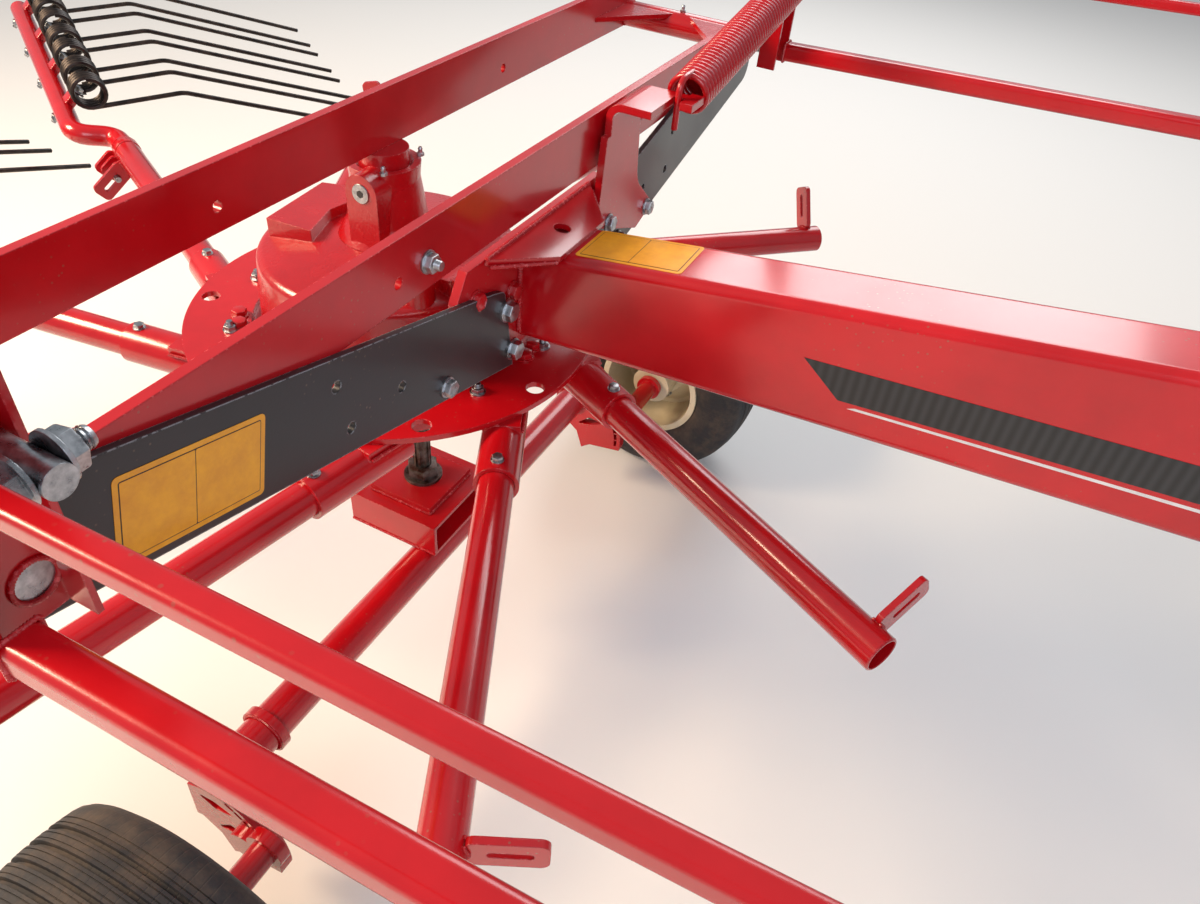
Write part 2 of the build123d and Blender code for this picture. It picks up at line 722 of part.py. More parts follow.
def hinge_tube():
    back = REAR_BAR_X + BAR_T / 2
    front = EAR_BACK
    level = (HINGE_Z + HINGE_TUBE_D / 4, HINGE_Z + HINGE_TUBE_D / 4 + HINGE_WEB_T)
    tube = along_x(HINGE_TUBE_D / 2, back, front, -HINGE_Y, HINGE_Z)
    reach = -HINGE_Y + HINGE_TUBE_D / 4
    webs = [
        plate_xy([(x, reach), (x + run, reach), (x, reach + 1.3 * HINGE_WEB_L)], *level)
        for x, run in ((back, HINGE_WEB_L), (front, -HINGE_WEB_L))]
    return tube + webs - along_x(HINGE_BORE, back - 1, front + 1, -HINGE_Y, HINGE_Z)


save_pair("hinge_tube", hinge_tube())


# Guards, folded up: a channel post at the back, two rails, and a bent loop with a post at the front

POST_BACK = GUARD_BACK - POST_DEPTH
LOOP_Y = GUARD_Y - GUARD_TUBE / 2 - LOOP_TUBE / 2


def channel_post(web_x, depth, low, high):
    """Upright channel, whose flanges run from the web by the depth, which is negative towards the back."""
    wall = POST_WALL if depth > 0 else -POST_WALL
    x = sorted((web_x, web_x + depth))
    y = (-POST_OUT_Y, -POST_IN_Y)
    hollow = sorted((web_x + wall, web_x + depth + wall))
    return block(x, y, (low, high)) - block(hollow, (y[0] + POST_WALL, y[1] - POST_WALL), (low - 1, high + 1))


def guard_post():
    post = channel_post(POST_BACK, POST_DEPTH, POST_LOW, POST_HIGH)
    return post - along_x(PIVOT_D / 2, POST_BACK - 1, POST_BACK + POST_WALL + 1, -HINGE_Y, HINGE_Z)


def guard_rail(size, radius, y, z):
    """Rail that rises a little towards the tractor, cut square between the two posts."""
    stop = GUARD_FRONT + POST_WALL - POST_DEPTH
    pivot = Pos(GUARD_BACK, 0, GUARD_Z)
    rail = square_rail(size, radius, GUARD_BACK - size, stop + size, -y, z)
    room = block((GUARD_BACK, stop), (-y - size, -y + size), (0, GUARD_TOP))
    return (pivot * Rot(0, -GUARD_TILT, 0) * pivot.inverse() * rail) & room


def guard_loop():
    back = POST_BACK + POST_WALL + LOOP_TUBE / 2
    front = GUARD_FRONT - LOOP_TUBE / 2
    top = GUARD_TOP - LOOP_TUBE / 2
    path = FilletPolyline(
        (back, -LOOP_Y, LOOP_LOW), (back, -LOOP_Y, top), (front, -LOOP_Y, top), (front, -LOOP_Y, LOOP_LOW),
        radius=GUARD_BEND)
    start = Plane(path @ 0, x_dir=(1, 0, 0), z_dir=path % 0)
    tube = sweep(start * RectangleRounded(LOOP_TUBE, LOOP_TUBE, 5), path=path)
    post = channel_post(GUARD_FRONT + POST_WALL, -POST_DEPTH, POST_LOW + POST_FRONT_RISE, POST_HIGH)
    return tube + post


save_pair("guard_shaft", along_x(PIVOT_D / 2, PIVOT_BACK, POST_BACK + POST_WALL, -HINGE_Y, HINGE_Z))
save_pair("guard_post", guard_post())
save_pair("guard_lower_rail", guard_rail(GUARD_TUBE, GUARD_ROUND, GUARD_Y, GUARD_Z))
save_pair("guard_upper_rail", guard_rail(GUARD_RAIL, GUARD_RAIL_ROUND, GUARD_RAIL_Y, GUARD_RAIL_Z))
save_pair("guard_loop", guard_loop())
save_pair("spring_peg", along_x(PEG_D / 2, POST_BACK + POST_WALL, PEG_FRONT, -PEG_Y, PEG_Z))


# Spring that helps lift the left guard, from an anchor plate on the strut to the peg

def guard_spring():
    """Close coil with a loop at each end. The near loop hooks on the anchor, the far one on the peg."""
    run = hypot(PEG_Y - SPRING_IN_Y, PEG_Z - SPRING_IN_Z)
    along = ((PEG_Y - SPRING_IN_Y) / run, (PEG_Z - SPRING_IN_Z) / run)
    far = run - (LOOP_R - SPRING_WIRE / 2 - PEG_D / 2 - HOOK_GAP)
    pitch = (far - 2 * LOOP_R) / SPRING_COILS
    valley = SPRING_D / 2 - pitch / 2
    start = LOOP_R
    end = start + SPRING_COILS * pitch
    edge = Polyline((end, valley), (end, 0), (start, 0), (start, valley))
    for coil in range(SPRING_COILS):
        low = start + coil * pitch
        edge += ThreePointArc((low, valley), (low + pitch / 2, SPRING_D / 2), (low + pitch, valley))
    body = revolve(make_face(edge), axis=Axis.X)
    loops = [Pos(place, 0, 0) * Torus(LOOP_R, SPRING_WIRE / 2) for place in (0, far)]
    place = Plane((SPRING_X, SPRING_IN_Y, SPRING_IN_Z), x_dir=(0, *along), z_dir=(1, 0, 0))
    return place * (body + loops)


def spring_anchor():
    """Bolted plate whose top is bent forward into a tab with a neck and a head."""
    back = STRUT_X + STRUT_T / 2
    front = back + ANCHOR_T
    top = SPRING_IN_Z + ANCHOR_T / 2
    tab_end = SPRING_X - SPRING_WIRE / 2 - 3
    head_start = SPRING_X + SPRING_WIRE / 2 + 3
    neck_in = SPRING_IN_Y - (LOOP_R - SPRING_WIRE / 2) + 0.6 + HOOK_GAP
    fold = top - 2 * ANCHOR_BEND
    flat = plate_yz([
        (TAB_IN_Y - 10, fold), (ANCHOR_IN_Y + 6, ANCHOR_LOW + 56, 6), (ANCHOR_OUT_Y - 58, ANCHOR_LOW, 6),
        (ANCHOR_OUT_Y, ANCHOR_LOW + 20, 10), (ANCHOR_OUT_Y - 72, ANCHOR_LOW + 82, 50), (neck_in + NECK_W, fold)],
        back, front)
    bent = plate_xz([(back, fold - 5), (back, top, ANCHOR_BEND), (tab_end, top), (tab_end, top - ANCHOR_T),
                     (front, top - ANCHOR_T, ANCHOR_BEND - ANCHOR_T), (front, fold - 5)], TAB_IN_Y, neck_in + NECK_W)
    level = (top - ANCHOR_T, top)
    neck = block((tab_end - 1, head_start + 1), (neck_in, neck_in + NECK_W), level)
    head = block((head_start, head_start + TAB_HEAD), (neck_in - NECK_W, neck_in + NECK_W + 8), level)
    return flat + bent + neck + head


save("spring_anchor", spring_anchor())
save("guard_spring", guard_spring())


# Headstock on its upright swivel, open in the middle for the drive shaft

LOW_YOKE = (BEAM_LOW_FRONT - SWIVEL_GAP - YOKE_T, BEAM_LOW_FRONT - SWIVEL_GAP)
HIGH_YOKE = (BEAM_HIGH_FRONT + SWIVEL_GAP, BEAM_HIGH_FRONT + SWIVEL_GAP + YOKE_T)
MAST_BACK = MAST_X - MAST_DEPTH
MAST_HALF = UPRIGHT_IN + UPRIGHT_T


def yoke(low, high):
    flat = plate_xy([(SWIVEL_X, -YOKE_HALF), (MAST_BACK, -MAST_HALF), (MAST_X, -MAST_HALF), (MAST_X, MAST_HALF),
                     (MAST_BACK, MAST_HALF), (SWIVEL_X, YOKE_HALF)], low, high)
    return flat + upright(YOKE_HALF, low, high, SWIVEL_X) - upright(SWIVEL_D / 2, low - 1, high + 1, SWIVEL_X)


def mast_side():
    """Right upright with its brace down to the cross tube, and the right cheek for the top link."""
    foot = LOWER_PIN_Z + CROSS_TUBE / 2 - 4
    upright_bar = block((MAST_BACK, MAST_X), (-MAST_HALF, -UPRIGHT_IN), (LOWER_PIN_Z, HIGH_YOKE[1]))
    middle = MAST_X - MAST_DEPTH / 2
    brace = plate_yz([(-BRACE_Y, foot), (-BRACE_Y + BRACE_W, foot), (-MAST_HALF + 4, BRACE_Z - BRACE_W),
                      (-MAST_HALF + 4, BRACE_Z)], middle - UPRIGHT_T / 2, middle + UPRIGHT_T / 2)
    cheek = plate_xz([
        (MAST_BACK + 10, HIGH_YOKE[1] - 2), (MAST_X, HIGH_YOKE[1] - 2), (TOP_LINK_X + 30, TOP_LINK_Z - 22, 18),
        (TOP_LINK_X + 30, TOP_LINK_Z + 32, 24), (TOP_LINK_X - 40, TOP_LINK_Z + 32, 24)],
        -TOP_LINK_HALF, -TOP_LINK_HALF + MAST_T)
    return upright_bar + brace + cheek


def headstock():
    half = LOWER_PIN_HALF - 6
    level = (LOWER_PIN_Z - CROSS_TUBE / 2, LOWER_PIN_Z + CROSS_TUBE / 2)
    cross = block((MAST_BACK, MAST_X), (-half, half), level)
    side = mast_side()
    body = cross + yoke(*LOW_YOKE) + yoke(*HIGH_YOKE) + side + other_side(side)
    return body - along_y(TOP_LINK_D / 2, -TOP_LINK_HALF - 1, TOP_LINK_HALF + 1, TOP_LINK_X, TOP_LINK_Z)


def swivel_pins():
    """Two short pins, one through each yoke and ear, so that the drive shaft passes between them."""
    head = SWIVEL_D / 2 + 10
    low = upright(SWIVEL_D / 2, LOW_YOKE[0], EAR_LEVELS[0][1], SWIVEL_X)
    low += upright(head, LOW_YOKE[0] - YOKE_HEAD, LOW_YOKE[0], SWIVEL_X)
    high = upright(SWIVEL_D / 2, EAR_LEVELS[1][0], HIGH_YOKE[1], SWIVEL_X)
    high += upright(head, HIGH_YOKE[1], HIGH_YOKE[1] + YOKE_HEAD, SWIVEL_X)
    return Compound([low, high])


save("headstock_frame", headstock())
save("swivel_pin", swivel_pins())
save_pair("hitch_pin", along_y(
    LOWER_PIN_D / 2, -LOWER_PIN_HALF - LOWER_PIN_L, -LOWER_PIN_HALF + 6, MAST_X - CROSS_TUBE / 2, LOWER_PIN_Z))


# Parking stand

def square_at_stand(half, low, high):
    """Upright square bar on the stand's axis."""
    return block((STAND_X - half, STAND_X + half), (STAND_Y - half, STAND_Y + half), (low, high))


def stand_leg():
    half = STAND_TUBE / 2
    leg = square_at_stand(half, STAND_FOOT_T, STAND_TOP)
    count = int((STAND_SLEEVE_LOW - STAND_HOLE_PITCH) / STAND_HOLE_PITCH)
    for hole in range(count):
        height = STAND_SLEEVE_LOW + STAND_HOLE_PITCH / 2 - hole * STAND_HOLE_PITCH
        leg -= along_y(STAND_HOLE_D / 2, STAND_Y - half - 1, STAND_Y + half + 1, STAND_X, height)
    return leg + square_at_stand(STAND_FOOT, 0, STAND_FOOT_T)


save("stand_sleeve", square_at_stand(STAND_SLEEVE / 2, STAND_SLEEVE_LOW, STAND_SLEEVE_HIGH)
     - square_at_stand(STAND_TUBE / 2 + STAND_GAP, STAND_SLEEVE_LOW - 1, STAND_SLEEVE_HIGH + 1))
save("stand_leg", stand_leg())
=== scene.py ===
# %% [markdown]
# A hay rake with one rotor, folded for the road. The steel pieces come in as finished solids, and this
# lesson dresses them: it sets the camera and a plain stage, builds one finish for each real material, and
# adds the small things that a solid model leaves out, such as bolts, weld beads, tyre grooves, wound
# springs and stickers.

# %% Load the solids
import bpy
import bmesh
import json
from math import atan2, cos, pi, radians, sin, sqrt, tan
from mathutils import Matrix, Vector


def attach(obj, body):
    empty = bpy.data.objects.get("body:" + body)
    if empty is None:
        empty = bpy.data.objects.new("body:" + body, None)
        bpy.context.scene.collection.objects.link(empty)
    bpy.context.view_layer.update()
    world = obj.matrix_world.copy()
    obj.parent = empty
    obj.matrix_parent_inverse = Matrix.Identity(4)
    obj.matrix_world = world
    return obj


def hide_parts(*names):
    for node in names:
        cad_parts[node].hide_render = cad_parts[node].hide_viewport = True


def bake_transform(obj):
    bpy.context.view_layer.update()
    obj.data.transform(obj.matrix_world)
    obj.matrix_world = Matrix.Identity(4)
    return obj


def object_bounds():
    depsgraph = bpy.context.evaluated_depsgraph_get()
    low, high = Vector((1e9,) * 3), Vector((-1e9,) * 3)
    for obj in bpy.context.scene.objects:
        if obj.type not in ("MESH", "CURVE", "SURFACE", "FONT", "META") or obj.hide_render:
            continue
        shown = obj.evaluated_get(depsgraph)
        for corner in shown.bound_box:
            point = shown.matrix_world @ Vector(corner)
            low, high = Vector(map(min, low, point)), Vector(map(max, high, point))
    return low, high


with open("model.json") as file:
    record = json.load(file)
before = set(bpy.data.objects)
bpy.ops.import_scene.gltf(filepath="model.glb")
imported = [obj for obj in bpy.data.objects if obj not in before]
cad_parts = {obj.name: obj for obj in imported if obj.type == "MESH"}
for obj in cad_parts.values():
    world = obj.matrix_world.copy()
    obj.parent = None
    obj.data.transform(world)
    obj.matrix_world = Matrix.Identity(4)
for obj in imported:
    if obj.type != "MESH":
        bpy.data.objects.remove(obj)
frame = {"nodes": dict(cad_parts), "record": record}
NODES = frame["nodes"]
SOLID_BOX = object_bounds()
print("solids:", len(NODES), "box:", SOLID_BOX)

# %% [markdown]
# The photograph is taken from a person's eye height beside the beam, looking down and back at the
# rotor. A camera turns in three steps: a heading on the ground, a tilt down, and a small roll. Writing
# them apart keeps each number readable, where one matrix would hide them.

# %% Camera
EYE = Vector((-1.450, -0.918, 0.361))
HEADING = 113.28
TILT_DOWN = 40.68
ROLL = 5.99
LENS_MM = 27
SENSOR_MM = 36
NEAREST = 0.02


def aim(heading, down, roll):
    """Turn for a camera, which looks along its own -Z with +Y up."""
    level = Matrix.Rotation(radians(heading - 90), 4, "Z") @ Matrix.Rotation(radians(90), 4, "X")
    return level @ Matrix.Rotation(radians(-down), 4, "X") @ Matrix.Rotation(radians(roll), 4, "Z")


lens = bpy.data.cameras.new("photo_lens")
lens.sensor_width = SENSOR_MM
lens.lens = LENS_MM
lens.clip_start = NEAREST
camera = bpy.data.objects.new("photo_camera", lens)
camera.matrix_world = Matrix.Translation(EYE) @ aim(HEADING, TILT_DOWN, ROLL)
bpy.context.scene.collection.objects.link(camera)
bpy.context.scene.camera = camera
print("camera at", tuple(EYE))

# %% [markdown]
# Every colour is first picked as an ordinary screen colour, so one function turns the hex value to the
# linear numbers that the shader needs. A second function adds one node, and the short ones after it give
# the few kinds of node that come up again and again. Each returns a socket, so they can be nested.

# %% Colour and node helpers
def linear(hex_value):
    """sRGB hex such as 'B30D16' to linear RGBA."""
    channels = [int(hex_value[i:i + 2], 16) / 255 for i in (0, 2, 4)]
    return tuple(c / 12.92 if c < 0.04045 else ((c + 0.055) / 1.055) ** 2.4 for c in channels) + (1.0,)


def add(tree, kind, links=None, **settings):
    """One node: settings go to its attributes or its named input sockets, links to any socket."""
    node = tree.nodes.new(kind)
    for name, value in settings.items():
        if hasattr(node, name):
            setattr(node, name, value)
        else:
            node.inputs[name.replace("_", " ")].default_value = value
    for socket, source in (links or {}).items():
        if isinstance(source, bpy.types.NodeSocket):
            tree.links.new(source, node.inputs[socket])
        else:
            node.inputs[socket].default_value = source
    return node


def noise(tree, place, scale, detail, rough=0.5):
    """Cloudy noise, with this many grains to the metre."""
    node = add(tree, "ShaderNodeTexNoise", {"Vector": place}, Scale=scale, Detail=detail, Roughness=rough)
    return node.outputs["Fac"]


def ramp(tree, value, low, high, start=0.0, end=1.0):
    """A value between low and high, turned to one between start and end and held beyond them."""
    return add(tree, "ShaderNodeMapRange", {"Value": value}, From_Min=low, From_Max=high, To_Min=start,
               To_Max=end).outputs[0]


def compute(tree, operation, *values, clamp=False):
    """One step of arithmetic on sockets or numbers."""
    node = add(tree, "ShaderNodeMath", dict(enumerate(values)), operation=operation, use_clamp=clamp)
    return node.outputs[0]


def mixed(tree, factor, first, second):
    """Colour between two colours."""
    return add(tree, "ShaderNodeMix", {0: factor, 6: first, 7: second}, data_type="RGBA").outputs[2]


def bumped(tree, height, strength, depth_mm, links=None):
    """Normal that follows a height."""
    links = {"Height": height, **(links or {})}
    return add(tree, "ShaderNodeBump", links, Strength=strength, Distance=depth_mm / 1000).outputs[0]


def new_material(name, **settings):
    """Empty material: its node tree, its shader and the place socket. Settings are the same all over."""
    material = bpy.data.materials.new(name)
    material.use_nodes = True
    tree = material.node_tree
    shader = tree.nodes["Principled BSDF"]
    for socket, value in settings.items():
        shader.inputs[socket.replace("_", " ")].default_value = value
    return material, tree, shader, add(tree, "ShaderNodeTexCoord").outputs["Object"]


def connect(tree, shader, **sockets):
    """Join sockets to the shader's inputs, named with underscores."""
    for name, source in sockets.items():
        tree.links.new(source, shader.inputs[name.replace("_", " ")])


# %% [markdown]
# The stage is a pale matt floor under an even, pale sky. A warm soft lamp from the left stands for the
# low sun of the photograph, and two weaker ones keep the far sides readable.

# %% Stage
MIDDLE = (-2.0, 0.0, -0.4)
FLOOR_HALF = 30

floor_material = new_material("pale_floor", Base_Color=linear("E4E3E0"), Roughness=0.9)[0]
bm = bmesh.new()
bmesh.ops.create_grid(bm, x_segments=1, y_segments=1, size=FLOOR_HALF)
bmesh.ops.translate(bm, verts=bm.verts, vec=(MIDDLE[0], MIDDLE[1], SOLID_BOX[0][2]))
floor_mesh = bpy.data.meshes.new("floor")
bm.to_mesh(floor_mesh)
bm.free()
floor_mesh.materials.append(floor_material)
floor = bpy.data.objects.new("floor", floor_mesh)
bpy.context.scene.collection.objects.link(floor)

world = bpy.data.worlds.new("studio")
bpy.context.scene.world = world
world.use_nodes = True
world.node_tree.nodes["Background"].inputs["Color"].default_value = linear("E6ECF4")
world.node_tree.nodes["Background"].inputs["Strength"].default_value = 0.5


def lamp(name, place, size, watts, tint):
    """Soft square lamp that faces the middle of the rake."""
    light = bpy.data.lights.new(name, "AREA")
    light.size = size
    light.energy = watts
    light.color = linear(tint)[:3]
    lamp_object = bpy.data.objects.new(name, light)
    lamp_object.location = place
    lamp_object.rotation_euler = (Vector(MIDDLE) - Vector(place)).to_track_quat("-Z", "Y").to_euler()
    bpy.context.scene.collection.objects.link(lamp_object)


lamp("low_sun", (-5.0, -1.6, 1.9), 1.4, 250, "FFE0BC")
lamp("fill", (1.0, -4.0, 2.4), 3.0, 110, "EAF1FF")
lamp("back", (-2.5, 4.5, 3.0), 3.0, 150, "FFFFFF")

# %% [markdown]
# Enamel over steel is the main finish: a smooth paint with a slight orange peel and a clear gloss on top.
# A Bevel node rounds the hard edges of the solids for the light, and the angle between that rounded
# normal and the true one tells where an edge is, so an edge colour can follow it. A noise that is only
# let through near the edges breaks that colour into patches: on the black and cream enamels they are
# worn paint, on the red ones a pale pink painted highlight. Dried mud sits in specks, where the large
# patches of the same noise that varies the colour are strongest.

# %% Painted steel
EDGE_ROUND = 0.0022
EDGE_SAMPLES = 4
EDGE_PATCH_MM = 5.0
PATCH_MM = 160.0
SPECK_MM = 9.0
MUD = "7A6450"
EDGE_PATCH_DULLS = 0.25


def painted(name, colours, edge_wear_and_highlight, rough, peel_mm, peel_depth, edge_patch_amount, dirt, coat=0.35):
    """Enamel with two tones, an edge colour (wear on black and cream, painted highlight on red) and dirt
    specks.
    """
    material, tree, shader, place = new_material(name, Coat_Weight=coat, Coat_Roughness=0.12, IOR=1.5)
    patches = noise(tree, place, 1000 / PATCH_MM, 5.0, 0.6)
    base = mixed(tree, ramp(tree, patches, 0.35, 0.65), linear(colours[0]), linear(colours[1]))
    rounded = add(tree, "ShaderNodeBevel", samples=EDGE_SAMPLES, Radius=EDGE_ROUND).outputs[0]
    true = add(tree, "ShaderNodeNewGeometry").outputs["Normal"]
    alike = add(tree, "ShaderNodeVectorMath", {0: rounded, 1: true}, operation="DOT_PRODUCT").outputs["Value"]
    edge = ramp(tree, alike, 0.99, 0.86)
    edge_patch = ramp(tree, noise(tree, place, 1000 / EDGE_PATCH_MM, 3.0), 0.62 - edge_patch_amount, 0.70 - edge_patch_amount)
    wear_and_highlight = compute(tree, "MULTIPLY", edge, edge_patch, clamp=True)
    specks = add(tree, "ShaderNodeTexVoronoi", {"Vector": place}, Scale=1000 / SPECK_MM).outputs["Distance"]
    speck = ramp(tree, specks, 0.17, 0.10)
    mud = compute(tree, "MULTIPLY", speck, ramp(tree, patches, 0.53, 0.66), clamp=True)
    # Patches of edge colour: worn paint on the black and cream enamels, a pale pink painted highlight on the
    # red ones
    paint = mixed(tree, wear_and_highlight, base, linear(edge_wear_and_highlight))
    colour = mixed(tree, compute(tree, "MULTIPLY", mud, dirt), paint, linear(MUD))
    gloss = ramp(tree, patches, 0.3, 0.7, *rough)
    dull = compute(tree, "MULTIPLY_ADD", wear_and_highlight, EDGE_PATCH_DULLS, gloss)
    peel = noise(tree, place, 1000 / peel_mm, 2.0)
    connect(tree, shader, Base_Color=colour, Roughness=dull,
            Normal=bumped(tree, peel, 0.5, peel_depth, {"Normal": rounded}))
    return material


finishes = {
    # Polyester enamel baked on rolled steel: deep red, high gloss, almost no texture; pale pink painted
    # highlight at the edges
    "red_enamel": painted("red_enamel", ("A80A13", "BE0C17"), "D9575A", (0.16, 0.27), 3.0, 0.10, 0.06, 0.5),
    # The same enamel over a sand casting, whose skin is coarse and rounds every edge; pale pink painted
    # highlight at the edges
    "cast_enamel": painted("cast_enamel", ("A30B14", "B90E18"), "D45154", (0.20, 0.34), 4.5, 1.1, 0.06, 0.5),
    # Black enamel on the struts, rubbed down to pale primer along the edges
    "black_enamel": painted("black_enamel", ("17171A", "232226"), "A3A6AC", (0.28, 0.42), 3.0, 0.12, 0.22,
                            0.6, 0.15),
    # Cream enamel on the rims, dusty and scuffed
    "rim_enamel": painted("rim_enamel", ("B9AD8C", "D6CCB0"), "6E5B45", (0.35, 0.5), 3.5, 0.2, 0.10,
                          1.0, 0.1)}
print("painted finishes:", list(finishes))

# %% [markdown]
# Bare metals differ from paint in two ways: the colour sits in the reflection, so Metallic is near 1, and
# the roughness varies more than the colour does. Zinc plating keeps faint cloudy patches, drawn bright
# steel gets brown bloom, and the tines are oil-hardened wire, dark with a cool sheen.

# %% Bare and plated metal
METAL_EDGE = 0.0008
GRAINS = 700.0


def metal(name, colours, metallic, rough, cloud_mm, depth):
    """Metal surface with cloudy patches between two tones."""
    material, tree, shader, place = new_material(name, Metallic=metallic)
    clouds = noise(tree, place, 1000 / cloud_mm, 4.0, 0.65)
    colour = mixed(tree, ramp(tree, clouds, 0.38, 0.64), linear(colours[0]), linear(colours[1]))
    rounded = add(tree, "ShaderNodeBevel", samples=EDGE_SAMPLES, Radius=METAL_EDGE).outputs[0]
    grain = bumped(tree, noise(tree, place, GRAINS, 2.0), 0.4, depth, {"Normal": rounded})
    connect(tree, shader, Base_Color=colour, Roughness=ramp(tree, clouds, 0.3, 0.7, *rough), Normal=grain)
    return material


finishes["zinc_plate"] = metal("zinc_plate", ("8E9296", "C3C6C9"), 1.0, (0.22, 0.42), 14.0, 0.15)
finishes["bare_steel"] = metal("bare_steel", ("4A3C32", "7F7A75"), 1.0, (0.35, 0.6), 18.0, 0.3)
finishes["spring_steel"] = metal("spring_steel", ("1E1815", "3A302B"), 0.55, (0.30, 0.48), 22.0, 0.2)
print("metal finishes done")

# %% [markdown]
# Tyre rubber is dull and nearly black, but road dust settles on the tread and in its grooves. The fine
# crosswise sipes are too small to cut, so a bump follows the angle round the wheel, worked out from the
# place of the wheel's axle.

# %% Rubber, plastic and film
WHEEL_AXLE = (-2.030, -0.882)        # X and Z of both wheels' axle
SIPES = 96
SIPE_MM = 0.6


def rubber():
    """Tyre rubber with dust, grain and fine cuts across the tread."""
    material, tree, shader, place = new_material("tyre_rubber")
    dust = noise(tree, place, 14.0, 6.0, 0.7)
    colour = mixed(tree, ramp(tree, dust, 0.42, 0.72, 0.0, 0.6), linear("232327"), linear("6A5A4A"))
    parts = add(tree, "ShaderNodeSeparateXYZ", {"Vector": place}).outputs
    along = compute(tree, "SUBTRACT", parts["X"], WHEEL_AXLE[0])
    upward = compute(tree, "SUBTRACT", parts["Z"], WHEEL_AXLE[1])
    turn = compute(tree, "MULTIPLY", compute(tree, "ARCTAN2", upward, along), float(SIPES))
    cut = ramp(tree, compute(tree, "SINE", turn), 0.90, 0.98, 1.0, 0.0)
    height = compute(tree, "MULTIPLY_ADD", noise(tree, place, 420.0, 2.0), 0.4, cut)
    connect(tree, shader, Base_Color=colour, Roughness=ramp(tree, dust, 0.0, 1.0, 0.55, 0.95),
            Normal=bumped(tree, height, 0.5, SIPE_MM))
    return material


def film(name, colours, rough, rib_mm=0.0):
    """Printed vinyl, or plastic. Ribs across X stand for the fine lines in a woven-look print."""
    material, tree, shader, place = new_material(name, Coat_Weight=0.3, Coat_Roughness=0.1)
    scuff = noise(tree, place, 45.0, 5.0, 0.7)
    tone = ramp(tree, scuff, 0.35, 0.7)
    if rib_mm:
        ribs = add(tree, "ShaderNodeTexWave", {"Vector": place}, bands_direction="X", Scale=pi * 50 / rib_mm)
        tone = ribs.outputs["Fac"]
    connect(tree, shader, Base_Color=mixed(tree, tone, linear(colours[0]), linear(colours[1])),
            Roughness=ramp(tree, scuff, 0.0, 1.0, *rough))
    return material


finishes["tyre_rubber"] = rubber()
finishes["yellow_vinyl"] = film("yellow_vinyl", ("DB9200", "EDA603"), (0.25, 0.4))
finishes["black_print"] = film("black_print", ("141210", "1E1B18"), (0.3, 0.45))
finishes["stripe_vinyl"] = film("stripe_vinyl", ("0B0B0D", "26262A"), (0.3, 0.45), 6.0)
finishes["white_vinyl"] = film("white_vinyl", ("C9C9CE", "DEDEE2"), (0.3, 0.45))
finishes["black_plastic"] = film("black_plastic", ("121214", "222225"), (0.4, 0.6))

# %% [markdown]
# The solids keep their shapes and only change their finish. The record names a material slot for each,
# and the castings get the coarser enamel.

# %% Finish the solids
SLOT_OF = {piece["node"]: piece["material_slot"] for piece in frame["record"]["subparts"]}
CAST_NODES = ("gear_housing", "hub_column", "hub_core")
for name, node in NODES.items():
    node.data.materials.clear()
    node.data.materials.append(finishes["cast_enamel" if name in CAST_NODES else SLOT_OF[name]])
print("dressed", len(NODES), "solids")

# %% [markdown]
# Sizes on the rake read best in millimetres from the foot of the rotor's axis on the ground, with X
# forward and Y to the left. The helpers below turn such a place to scene metres, stand a small shape on
# a face, and turn a finished bmesh to a piece whose sharp edges stay sharp.

# %% Places and pieces
MM = 0.001
ROTOR_FOOT = Vector((-2.200, 0.0, -1.110))
SHARP_ANGLE = radians(38)
RIGHT = -1
LEFT = 1
SIDES = {"right": RIGHT, "left": LEFT}
FORWARD = (1, 0, 0)
BACK = (-1, 0, 0)
UP = (0, 0, 1)
DOWN = (0, 0, -1)


def at(x, y, z):
    """Scene point from millimetres about the foot of the rotor's axis."""
    return ROTOR_FOOT + Vector((x, y, z)) * MM


def stood(point, direction, spin=0.0):
    """Placement at a point, with Z along a direction."""
    turn = Vector(direction).to_track_quat("Z", "Y").to_matrix().to_4x4()
    return Matrix.Translation(point) @ turn @ Matrix.Rotation(spin, 4, "Z")


def moved(x=0.0, y=0.0, z=0.0):
    """Placement that only moves, in metres."""
    return Matrix.Translation((x, y, z))


def rolled(degrees):
    """Placement that only rolls about X."""
    return Matrix.Rotation(radians(degrees), 4, "X")


def piece(name, bm, finish, body, replaces=()):
    """Close a bmesh as one object with one finish, riding on a body if one is given."""
    bmesh.ops.recalc_face_normals(bm, faces=bm.faces)
    for face in bm.faces:
        face.smooth = True
    for edge in bm.edges:
        edge.smooth = edge.calc_face_angle(pi) < SHARP_ANGLE
    mesh = bpy.data.meshes.new(name)
    bm.to_mesh(mesh)
    bm.free()
    mesh.materials.append(finishes[finish])
    thing = bpy.data.objects.new(name, mesh)
    bpy.context.scene.collection.objects.link(thing)
    if body:
        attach(thing, body)
    if replaces:
        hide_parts(*replaces)
    print(name, "triangles:", sum(len(face.vertices) - 2 for face in mesh.polygons))
    return thing


# %% [markdown]
# A small shape is made in a bmesh of its own and stamped where it belongs, because an operator takes as
# long as the whole bmesh it works in is big.

# %% Small shapes
def as_mesh(bm):
    """Plain mesh of a bmesh, for stamping."""
    mesh = bpy.data.meshes.new("shape")
    bm.to_mesh(mesh)
    bm.free()
    return mesh


def stamp(bm, mesh, place):
    """Add a copy of a mesh at a placement."""
    copy = mesh.copy()
    copy.transform(place)
    bm.from_mesh(copy)
    bpy.data.meshes.remove(copy)


def disc(bm, place, radius, height, segments=24, tip=None):
    """Round solid that stands on a face. Tip is its upper radius."""
    middle = place @ moved(z=height / 2)
    bmesh.ops.create_cone(bm, cap_ends=True, segments=segments, radius1=radius,
                          radius2=radius if tip is None else tip, depth=height, matrix=middle)


def stack(bm, place, steps):
    """Round steps along the placement's Z. Each is its start, radius, height, sides and tip radius."""
    for start, *size in steps:
        disc(bm, place @ moved(z=start), *size)


